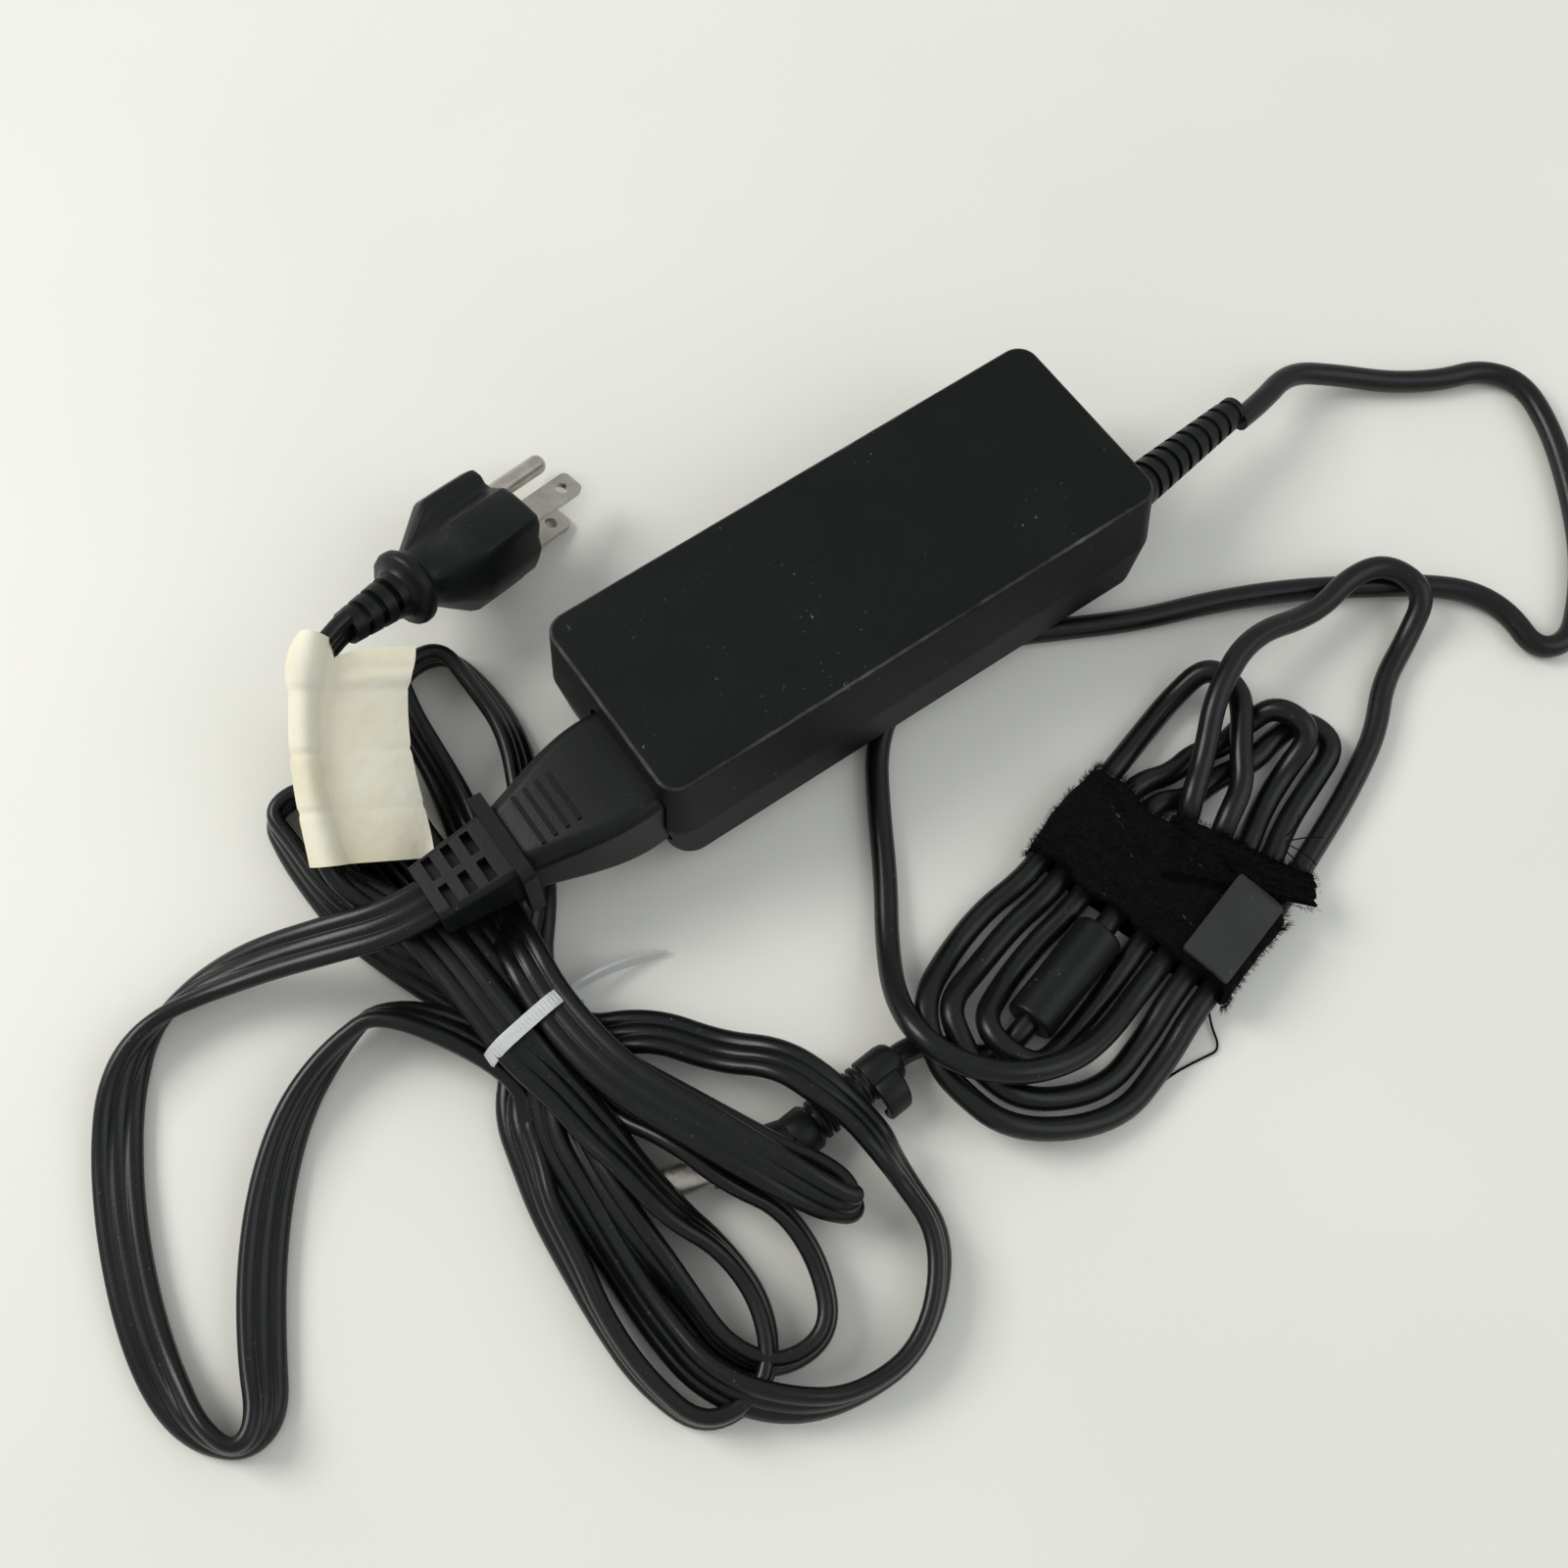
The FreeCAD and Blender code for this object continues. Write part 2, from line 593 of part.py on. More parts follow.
def least_gap(path, diameter, apart=14.0, step=1.5):
    """Least gap of a tube to itself, measured on points of its middle line."""
    points = path.discretize(Distance=step)
    along = [0.0]
    for first, last in zip(points, points[1:]):
        along.append(along[-1] + (last - first).Length)
    least = 1e9
    for i, point in enumerate(points):
        for j in range(i + 1, len(points)):
            if along[j] - along[i] > apart:
                least = min(least, (points[j] - point).Length)
    return least - diameter


def report_tube(name, path, radii, tube, diameter):
    """Print a cord stretch's length, tightest arcs and volume against its section."""
    section = math.pi * diameter ** 2 / 4
    print(name, "length", round(path.Length, 1), "tightest arcs", [round(r, 1) for r in sorted(radii)[:5]],
          "volume ratio", round(tube.Volume / (section * path.Length), 4), "valid", tube.isValid())


def free_cord(name, points, diameter):
    """A stretch of cord that isn't coiled."""
    path, radii = cord_wire(points)
    tube = swept_tube(path, diameter / 2)
    report_tube(name, path, radii, tube, diameter)
    save(name, tube)
    return path


def hank_cord(name, stations, diameter):
    """A hank of cord as one unbroken tube."""
    path, radii = hank_wire(stations)
    tube = swept_tube(path, diameter / 2)
    report_tube(name, path, radii, tube, diameter)
    print(name, "least gap to itself", round(least_gap(path, diameter), 2))
    save(name, tube)
    return path


# Low-voltage hank: along is measured from the strap's middle towards the long loop, and across to the near side
DC_HANK_MIDDLE = Vector(21.0, -90.0, 0)
DC_HANK_TURN = 16.0
DC_FLOOR = DC_CORD / 2 + 0.1
DC_SECOND = DC_FLOOR + 6.1
DC_THIRD = DC_SECOND + 6.4
DC_WAIST_HEIGHT = STRAP_THICK + 0.15 + CLEAR + DC_CORD / 2
DC_FERRITE_HEIGHT = FERRITE_RADIUS + 0.4
DC_WAIST_HALF = STRAP_WIDTH / 2 + 1.0
DC_PITCH = 6.2
DC_FERRITE_GAP = 8.5
DC_FERRITE_ACROSS = -1.9
DC_WAIST = ([DC_FERRITE_ACROSS - DC_FERRITE_GAP - DC_PITCH * k for k in (2, 1, 0)] + [DC_FERRITE_ACROSS]
            + [DC_FERRITE_ACROSS + DC_FERRITE_GAP + DC_PITCH * k for k in (0, 1, 2, 3)])


def dc_place(along, across, height):
    """Point of the low-voltage hank."""
    turn = math.radians(DC_HANK_TURN)
    return DC_HANK_MIDDLE + Vector(along * math.cos(turn) + across * math.sin(turn),
                                   along * math.sin(turn) - across * math.cos(turn), height)


def dc_station(along, across, height, heading):
    """Point of the low-voltage hank and the way the cord runs there, from its length axis."""
    way = dc_place(math.cos(math.radians(heading)), math.sin(math.radians(heading)), 0) - DC_HANK_MIDDLE
    return dc_place(along, across, height), way


def dc_pass(lane, upward, height=None):
    """The two ends of a straight pass under the strap, in one of its eight lanes."""
    height = DC_WAIST_HEIGHT if height is None else height
    heading = 0 if upward else 180
    ends = (-DC_WAIST_HALF, DC_WAIST_HALF) if upward else (DC_WAIST_HALF, -DC_WAIST_HALF)
    return [dc_station(end, DC_WAIST[lane], height, heading) for end in ends]


def dc_low_loop(start, raised, end):
    """Loop on the short side, raised at its tip, where it crosses the cord's tail."""
    return ([dc_station(*start, DC_FLOOR, 180)] + [dc_station(*place) for place in raised]
            + [dc_station(*end, DC_FLOOR, 0)])


def dc_hank_stations():
    """Stations of the low-voltage hank: four long-side loops with three short-side loops between them."""
    low, mid, high = DC_FLOOR, DC_SECOND, DC_THIRD
    stations = dc_pass(5, True)
    stations += [dc_station(*s) for s in ((38, 8.8, low, -6), (58, 2.0, mid, -90), (44, -6.4, low, 185),
                                          (30, -11.2, low, 188))]
    stations += dc_pass(1, False)
    stations += dc_low_loop((-33, -18.3), [(-57.0, -12.0, mid + 0.4, 120), (-60.0, -3.0, mid + 0.4, 90)], (-34, 20.3))
    stations += dc_pass(6, True)
    stations += [dc_station(*s) for s in ((40, 15.2, low, -4), (61.2, 7.9, low, -90), (47, 1.3, low, 184),
                                          (27, -4.2, low, 191))]
    stations += dc_pass(2, False)
    stations += dc_low_loop((-32, -11.6), [(-53.0, -2.0, mid + 1.7, 90)], (-32, 7.4))
    stations += dc_pass(4, True)
    stations += [dc_station(*s) for s in ((27, 3.5, mid, -12), (43, -6, mid + 0.3, -32), (56, -16.5, mid, -90),
                                          (38, -24, low, 180))]
    stations += dc_pass(0, False)
    stations += dc_low_loop((-34, -25.3), [(-61.5, -16.5, mid + 0.7, 128), (-66.5, -3.0, mid + 0.7, 90)], (-35, 26.8))
    stations += dc_pass(7, True)
    stations += [dc_station(*s) for s in ((38, 23.6, low, -5), (60, 20.4, low, -12), (84, 12.5, low, -8),
                                          (101, 2, mid + 0.1, -90), (88, -8.5, mid, 184), (50, -16.4, high, 172),
                                          (24, -6.0, mid + 1.6, 160))]
    stations += dc_pass(3, False, DC_FERRITE_HEIGHT)
    return stations


def relief_frame():
    """Root and direction of the low-voltage strain relief."""
    root = seat_point(END_X + 0.2, DC_EXIT_Y, AXIS_HEIGHT)
    yaw, dip = math.radians(RELIEF_YAW), math.radians(RELIEF_DIP)
    way = Vector(math.cos(dip) * math.cos(yaw), math.cos(dip) * math.sin(yaw), -math.sin(dip))
    return root, way


DC_RUN_POINTS = [(129, -5.5, 9.5), (141, -11.5, 5.8), (153, -20, 3.4), (165, -26.5, 2.9), (175.5, -29.5, 2.9),
                 (182.5, -38, 2.9), (180, -52, 2.9), (173, -67, 2.9), (164, -81.5, 2.9), (154.5, -91.5, 2.9),
                 (145, -98.5, 2.9), (136.5, -95.5, 2.9), (137.5, -84.5, 2.9), (133.5, -75, 2.9),
                 (124, -67, 2.9), (110, -58.5, 2.9), (95, -50.0, 2.9), (78, -42.6, 2.9), (61, -37.0, 2.9),
                 (46, -30.0, 2.9), (30, -22.0, 2.9), (13, -19.3, 2.9), (-2, -21, 2.9), (-12, -28.5, 2.9),
                 (-20, -41, 2.9), (-28, -55, 2.9), (-37, -68, 3.6), (-44, -79.5, 9.6), (-46, -90.5, 15.9),
                 (-41.5, -101, 16.0), (-32.5, -109, 15.4), (-21, -112.8, 13.0), (-10, -112.2, 9.0)]
DC_TAIL_POINTS = [(-28.5, -101.9, 4.9), (-33.5, -101.2, 2.9), (-38.5, -96.5, 2.9), (-42.0, -91.5, 3.6)]

PLUG_REAR = Vector(-80.0, -92.3, PLUG_AXIS_HEIGHT)
PLUG_FORWARD = Vector(-0.9655, 0.2605, 0).normalize()
PLUG_RELIEF_END = Vector(-52.0, -90.2, PLUG_AXIS_HEIGHT)


def make_dc_relief():
    """Ribbed, tapered strain relief clipped into the end wall."""
    root, way = relief_frame()
    start = root + way * RELIEF_START
    sides = rod(tuple(start), tuple(start + way * RELIEF_LENGTH), RELIEF_ROOT_RADIUS - 0.8,
                RELIEF_TIP_RADIUS - 0.5)
    pieces = [sides]
    pitch = (RELIEF_LENGTH - 4.0) / RELIEF_RIBS
    for rib in range(RELIEF_RIBS):
        at = 2.0 + pitch * rib
        share = at / RELIEF_LENGTH
        radius = RELIEF_ROOT_RADIUS + (RELIEF_TIP_RADIUS - RELIEF_ROOT_RADIUS) * share
        pieces.append(rod(tuple(start + way * at), tuple(start + way * (at + pitch * 0.62)), radius,
                          radius - 0.12))
    pieces.append(rod(tuple(start + way * (RELIEF_LENGTH - 1.6)), tuple(start + way * RELIEF_LENGTH),
                      RELIEF_TIP_RADIUS))
    outside = seat(rod((END_X + 0.55, DC_EXIT_Y, AXIS_HEIGHT), (END_X + RELIEF_FLANGE + 1.2, DC_EXIT_Y, AXIS_HEIGHT),
                       RELIEF_ROOT_RADIUS + 0.5))
    neck = seat(rod((END_X - WALL - 2, DC_EXIT_Y, AXIS_HEIGHT), (END_X + 0.8, DC_EXIT_Y, AXIS_HEIGHT),
                    RELIEF_ROOT_RADIUS - 0.9))
    return pieces[0].fuse(pieces[1:] + [outside, neck])


def make_dc_lead():
    """Low-voltage relief, cord, hank, ferrite, strap and plug."""
    save("dc_strain_relief", make_dc_relief())
    root, way = relief_frame()
    exit_point = root + way * (RELIEF_START + RELIEF_LENGTH)
    stations = dc_hank_stations()
    start, start_way = stations[0]
    points = [exit_point, exit_point + way * 9.0] + [Vector(*p) for p in DC_RUN_POINTS]
    points += [start - start_way * 10.0, start]
    free_cord("dc_cord_run", points, DC_CORD)
    hank_cord("dc_cord_hank", stations, DC_CORD)
    end = stations[-1][0]
    ferrite_end = dc_place(-DC_WAIST_HALF - FERRITE_LEAD - FERRITE_LENGTH, DC_FERRITE_ACROSS, DC_FERRITE_HEIGHT)
    relief_way = (PLUG_REAR - PLUG_RELIEF_END).normalize()
    tail = [end, dc_place(-DC_WAIST_HALF - FERRITE_LEAD - 1.5 - FERRITE_LENGTH, DC_FERRITE_ACROSS, DC_FERRITE_HEIGHT)]
    tail += [Vector(*p) for p in DC_TAIL_POINTS] + [PLUG_RELIEF_END - relief_way * 4.0, PLUG_RELIEF_END]
    free_cord("dc_cord_tail", tail, DC_CORD)
    ferrite_start = dc_place(-DC_WAIST_HALF - FERRITE_LEAD, DC_FERRITE_ACROSS, DC_FERRITE_HEIGHT)
    make_ferrite(ferrite_start, ferrite_end)
    make_strap()
    make_dc_plug()


def make_ferrite(start, end):
    """Ferrite sleeve in its moulded skin, with the cord through it."""
    way = (end - start).normalize()
    bore = DC_CORD / 2 + 0.1
    skin = rod(tuple(start), tuple(end), FERRITE_RADIUS)
    ends = [edge for edge in skin.Edges if edge.Length > 2 * FERRITE_RADIUS * 3 and len(edge.Vertexes) == 1]
    skin = skin.makeFillet(1.0, ends)
    core_start, core_end = start + way * 1.5, end - way * 1.5
    core_radius = FERRITE_RADIUS - FERRITE_SKIN
    core = pipe(tuple(core_start), tuple(core_end), core_radius, bore + 0.4)
    hollow = rod(tuple(core_start), tuple(core_end), core_radius)
    through = rod(tuple(start - way), tuple(end + way), bore)
    save("ferrite_housing", skin.cut([hollow, through]))
    save("ferrite_core", core)


def band(low_a, high_a, low_z, high_z, thick, width, radius, place):
    """Closed band round a bundle: place turns (a, b, depth) into a point."""
    half_a, half_z = (high_a - low_a) / 2, (high_z - low_z) / 2
    mid_a, mid_z = (high_a + low_a) / 2, (high_z + low_z) / 2
    shapes = []
    for extra in (thick, 0):
        outline = rounded_outline(half_a + extra, half_z + extra, radius + extra,
                                  lambda a, b: place(mid_a + a, mid_z + b, -width / 2))
        depth = place(0, 0, width / 2) - place(0, 0, -width / 2)
        shapes.append(Part.Face(outline).extrude(depth))
    return shapes[0].cut(shapes[1])


def dc_block(along0, along1, across0, across1, low, high):
    """Block in the low-voltage hank's own directions."""
    corners = [dc_place(a, b, low) for a, b in ((along0, across0), (along1, across0), (along1, across1),
                                                 (along0, across1))]
    return Part.Face(Part.makePolygon(corners + corners[:1])).extrude(Vector(0, 0, high - low))


def make_strap():
    """Loop strap round the hank with its loose end, and the smooth tab that closes it."""
    low_across = DC_WAIST[0] - DC_CORD / 2 - CLEAR
    high_across = DC_WAIST[-1] + DC_CORD / 2 + CLEAR
    low_z = DC_WAIST_HEIGHT - DC_CORD / 2 - CLEAR
    high_z = DC_FERRITE_HEIGHT + DC_CORD / 2 + CLEAR
    ring = band(low_across, high_across, low_z, high_z, STRAP_THICK, STRAP_WIDTH, 3.0,
                lambda a, b, depth: dc_place(depth, a, b))
    top = high_z + STRAP_THICK
    half = STRAP_WIDTH / 2
    loose_end = dc_block(half - 3.0, half + 15.0, 12.0, 25.5, high_z + 0.2, top - 0.1)
    save("cable_strap", ring.fuse(loose_end))
    tab_out = high_across + STRAP_THICK
    tab = dc_block(-TAB_LENGTH / 2, TAB_LENGTH / 2, tab_out - TAB_WIDTH - 3.0, tab_out - 3.0, top, top + TAB_THICK)
    upright = [edge for edge in tab.Edges if abs(edge.Length - TAB_THICK) < 1e-6]
    save("strap_tab", tab.makeFillet(1.5, upright))


def make_dc_plug():
    """Round low-voltage plug: ribbed relief with its collar, body, barrel, insulator and centre pin."""
    rear, forward = PLUG_REAR, PLUG_FORWARD
    back_way = (PLUG_RELIEF_END - rear).normalize()
    length = (PLUG_RELIEF_END - rear).Length
    pieces = [rod(tuple(rear + back_way * 1.7), tuple(PLUG_RELIEF_END), 4.1, 3.5),
              rod(tuple(rear), tuple(rear - forward * 2.6), 4.1)]
    ribs = 7
    pitch = (length - 11.0) / ribs
    for rib in range(ribs):
        at = 2.0 + pitch * rib
        radius = 4.9 - 0.1 * rib
        pieces.append(rod(tuple(rear + back_way * at), tuple(rear + back_way * (at + pitch * 0.55)), radius))
    collar = rear + back_way * (length - 8.0)
    pieces.append(rod(tuple(collar), tuple(collar + back_way * 4.5), 5.0))
    pieces.append(rod(tuple(collar + back_way * 4.5), tuple(collar + back_way * 7.0), PLUG_AXIS_HEIGHT - 0.3))
    save("dc_plug_relief", pieces[0].fuse(pieces[1:]))
    front = rear + forward * PLUG_BODY_LENGTH
    body = rod(tuple(rear), tuple(rear + forward * 13.5), PLUG_BODY_RADIUS - 0.2, PLUG_BODY_RADIUS)
    nose = rod(tuple(rear + forward * 13.5), tuple(front), PLUG_BODY_RADIUS, PLUG_BODY_RADIUS - 0.9)
    barrel_start = front - forward * BARREL_ROOT_LENGTH
    socket = rod(tuple(barrel_start), tuple(front + forward), BARREL_ROOT_RADIUS)
    save("dc_plug_body", body.fuse(nose).cut(socket))
    tip = front + forward * BARREL_LENGTH
    root = pipe(tuple(barrel_start), tuple(front), BARREL_ROOT_RADIUS, BARREL_BORE / 2)
    save("dc_plug_barrel", root.fuse(pipe(tuple(front), tuple(tip), BARREL_RADIUS, BARREL_BORE / 2)))
    insulator_end = front + forward * 1.5
    insulator = pipe(tuple(barrel_start), tuple(insulator_end), BARREL_BORE / 2, CENTRE_PIN_RADIUS)
    save("dc_plug_insulator", insulator)
    pin = rod(tuple(barrel_start), tuple(tip - forward * 1.5), CENTRE_PIN_RADIUS)
    save("dc_plug_pin", pin)


# Mains hank: lanes across the tie from left to right, in a lower and an upper layer
AC_TIE_MIDDLE = Vector(-113.0, -40.0, 0)
AC_PITCH = 6.6
AC_FLOOR = AC_CORD / 2 + 0.1
AC_SECOND = AC_FLOOR + 6.3
AC_THIRD = AC_SECOND + 6.3
AC_LOW_LANE = TIE_THICK + 0.2 + CLEAR + AC_CORD / 2
AC_HIGH_LANE = AC_LOW_LANE + 6.5
AC_WAIST_HALF = 5.0


def ac_station(x, y, height, heading):
    """Point of the mains hank and the way the cord runs there."""
    return (Vector(x, y, height),
            Vector(math.cos(math.radians(heading)), math.sin(math.radians(heading)), 0))


def ac_pass(lane, height, upward):
    """The two ends of a straight pass through the tie."""
    x = AC_TIE_MIDDLE.x + (lane - 1.5) * AC_PITCH
    heading = 90 if upward else -90
    ends = (-AC_WAIST_HALF, AC_WAIST_HALF) if upward else (AC_WAIST_HALF, -AC_WAIST_HALF)
    return [ac_station(x, AC_TIE_MIDDLE.y + end, height, heading) for end in ends]


def ac_hank_stations():
    """Stations of the mains hank: four loops on the near side of the tie and three beyond it."""
    low, mid, high = AC_FLOOR, AC_SECOND, AC_THIRD
    wide_loop = [(-124.4, -70, mid - 1.2, -92), (-124.8, -98, low, -90), (-117.5, -130.5, mid + 0.3, -52),
                 (-92, -143.5, low, 0), (-64.5, -117, low, 90), (-66.0, -99, high - 2.0, 97),
                 (-70.5, -84, high, 112), (-87, -62, 8.6, 126)]
    under_connector = [(-90, -5, low, 65), (-80.5, 28, low, 92), (-89, 46, low, 180), (-98.5, 30, low, 268),
                       (-101.9, 2, low + 2.4, 257)]
    flat_fold = [(-96.4, -60, 13.0, -62), (-85, -80, high, -56), (-75.5, -96.5, high - 0.6, -70),
                 (-71.5, -107, mid + 1.5, -88), (-77.5, -113.5, mid - 1.5, 180), (-84.3, -107.0, mid + 1.5, 114),
                 (-88.4, -97, high - 0.8, 114), (-94.0, -83, high, 118), (-104.3, -62, 14.2, 110)]
    inner_far = [(-109.9, -15, 10.6, 91), (-111, 5, mid, 96), (-108.5, 30, low, 88), (-115, 44, low, 180),
                 (-120.8, 28, low, -90), (-116.8, -7, low, -76)]
    inner_near = [(-108.6, -60, 6.0, -78), (-103, -85, 12.9, -70), (-92, -110, low, -90), (-104, -127.5, mid, 180),
                  (-116.5, -112, mid, 90), (-118.8, -84, 12.3, 92)]
    outer_far = [(-124.1, -6, low, 104), (-129.6, 16, low, 96), (-136.0, 41, low, 180), (-142, 22, low, -88),
                 (-135.3, -1.5, low, -66)]
    left_loop = [(-127.6, -60, low, -102), (-131.2, -80, low, -94), (-132.5, -108, low, -90),
                 (-120, -128.5, low, 0), (-103.5, -108, low, 92), (-110.4, -82, 15.0, 100), (-114.2, -62, 13.8, 98)]
    order = [(ac_pass(0, AC_HIGH_LANE, False), wide_loop), (ac_pass(3, AC_LOW_LANE, True), under_connector),
             (ac_pass(3, AC_HIGH_LANE, False), flat_fold), (ac_pass(2, AC_HIGH_LANE, True), inner_far),
             (ac_pass(2, AC_LOW_LANE, False), inner_near), (ac_pass(1, AC_LOW_LANE, True), outer_far),
             (ac_pass(0, AC_LOW_LANE, False), left_loop), (ac_pass(1, AC_HIGH_LANE, True), [])]
    stations = []
    for straight, loop in order:
        stations += straight + [ac_station(*s) for s in loop]
    return stations


AC_LEAD_POINTS = [(-140, -3, 18.0), (-154, 3, 11.5), (-168, 6.5, 6.0), (-181, 5, 3.2), (-191.5, -2.5, 3.1),
                  (-199.5, -14, 3.1), (-206.5, -29, 3.1), (-212, -46, 3.1), (-214.5, -61, 3.1), (-213.5, -73.5, 3.1),
                  (-208, -82, 3.1), (-200, -79, 3.1), (-195, -67.5, 3.1), (-187, -53, 3.1), (-176.5, -39, 3.1),
                  (-164, -27.5, 3.1), (-150, -21, 5.0), (-136.5, -19.0, 9.6)]
AC_PLUG_LEAD_POINTS = [(-120.5, -9.0, 12.2), (-127.0, 4.0, 14.0), (-131.5, 11.0, 15.7)]
AC_PLUG_FACE = Vector(-54.2, 57.8, 0)


def plug_axes():
    """Forward, sideways (to the earth pin) and upward directions of the three-pin plug."""
    yaw, pitch = math.radians(PLUG_YAW), math.radians(PLUG_PITCH)
    forward = Vector(math.cos(pitch) * math.cos(yaw), math.cos(pitch) * math.sin(yaw), -math.sin(pitch))
    side = Vector(-math.sin(yaw), math.cos(yaw), 0)
    return forward, side, forward.cross(side)


def plug_matrix(height):
    """Placement of the plug, drawn with +X forward, +Y to the earth pin and its face at x = 0."""
    forward, side, up = plug_axes()
    return Matrix(forward.x, side.x, up.x, AC_PLUG_FACE.x, forward.y, side.y, up.y, AC_PLUG_FACE.y,
                  forward.z, side.z, up.z, height, 0, 0, 0, 1)


def plug_face_height():
    """Height of the plug's face that puts the lower blade's tip on the surface."""
    forward, side, up = plug_axes()
    low = min((forward * BLADE_LENGTH + up * (b * (BLADE_SPACING / 2 + BLADE_THICK / 2))
               + side * (s * BLADE_WIDTH / 2)).z for b in (-1, 1) for s in (-1, 1))
    return 0.1 - low


def plug_section(x, centre_y, half_y, half_z, radius):
    """Rounded outline square to the plug's axis."""
    return rounded_outline(half_y, half_z, radius, lambda a, b: Vector(x, centre_y + a, b))


PLUG_CENTRE_Y = 5.0
PLUG_BODY_BACK = -33.0
PLUG_RELIEF_BACK = -50.0


def make_plug_shapes():
    """Plug body, relief, blades and earth pin in the plug's own directions."""
    centre = PLUG_CENTRE_Y
    front = Part.makeLoft([plug_section(0, centre, 13.2, 11.6, 5.0), plug_section(-9, centre, 13.6, 12.0, 5.5)],
                          True, True)
    grip = Part.makeLoft([plug_section(-9, centre, 13.6, 12.0, 5.5), plug_section(-18, centre, 10.2, 9.2, 4.5),
                          plug_section(-26, centre, 9.0, 8.6, 5.0)], True, True)
    flange = Part.makeLoft([plug_section(-26, centre, 9.0, 8.6, 5.0), plug_section(-29, centre, 10.8, 10.4, 8.0),
                            plug_section(PLUG_BODY_BACK, centre, 10.8, 10.4, 8.0)], True, True)
    body = front.fuse([grip, flange])
    roots = [box(-PRONG_ROOT, 0.5, -BLADE_WIDTH / 2, BLADE_WIDTH / 2, side * BLADE_SPACING / 2 - BLADE_THICK / 2,
                 side * BLADE_SPACING / 2 + BLADE_THICK / 2) for side in (-1, 1)]
    roots.append(rod((-PRONG_ROOT, GROUND_OFFSET, 0), (0.5, GROUND_OFFSET, 0), GROUND_ROOT_RADIUS))
    body = body.cut(roots)
    relief = rod((PLUG_BODY_BACK, centre, 0), (PLUG_RELIEF_BACK, centre, 0), 5.6, 3.9)
    slots = []
    for row in range(3):
        x = PLUG_BODY_BACK - 4.0 - row * 4.2
        for turn in (0, 90):
            slot = box(x - 1.6, x, centre - 12, centre + 12, 2.9 + CLEAR, 9)
            slot.rotate(Vector(x, centre, 0), Vector(1, 0, 0), turn)
            opposite = slot.copy()
            opposite.rotate(Vector(x, centre, 0), Vector(1, 0, 0), 180)
            slots += [slot, opposite]
    relief = relief.cut(slots)
    blades = []
    for side in (-1, 1):
        middle = side * BLADE_SPACING / 2
        blade = box(-PRONG_ROOT, BLADE_LENGTH, -BLADE_WIDTH / 2, BLADE_WIDTH / 2, middle - BLADE_THICK / 2,
                    middle + BLADE_THICK / 2)
        tip = [edge for edge in blade.Edges
               if abs(edge.BoundBox.XMin - BLADE_LENGTH) < 1e-6 and edge.Length < BLADE_THICK + 1e-6]
        blade = blade.makeFillet(1.6, tip)
        blade = blade.cut(rod((BLADE_LENGTH - 4.4, 0, middle - 2), (BLADE_LENGTH - 4.4, 0, middle + 2), 1.55))
        blades.append(blade)
    ground = rod((0, GROUND_OFFSET, 0), (GROUND_LENGTH, GROUND_OFFSET, 0), GROUND_RADIUS)
    tip = [edge for edge in ground.Edges if edge.BoundBox.XMin > GROUND_LENGTH - 1e-3]
    ground = ground.makeFillet(GROUND_TIP_ROUND, tip)
    ground = ground.fuse(rod((-PRONG_ROOT, GROUND_OFFSET, 0), (0, GROUND_OFFSET, 0), GROUND_ROOT_RADIUS))
    return {"ac_plug_body": body, "ac_plug_relief": relief, "plug_blades": group(blades), "plug_ground_pin": ground}


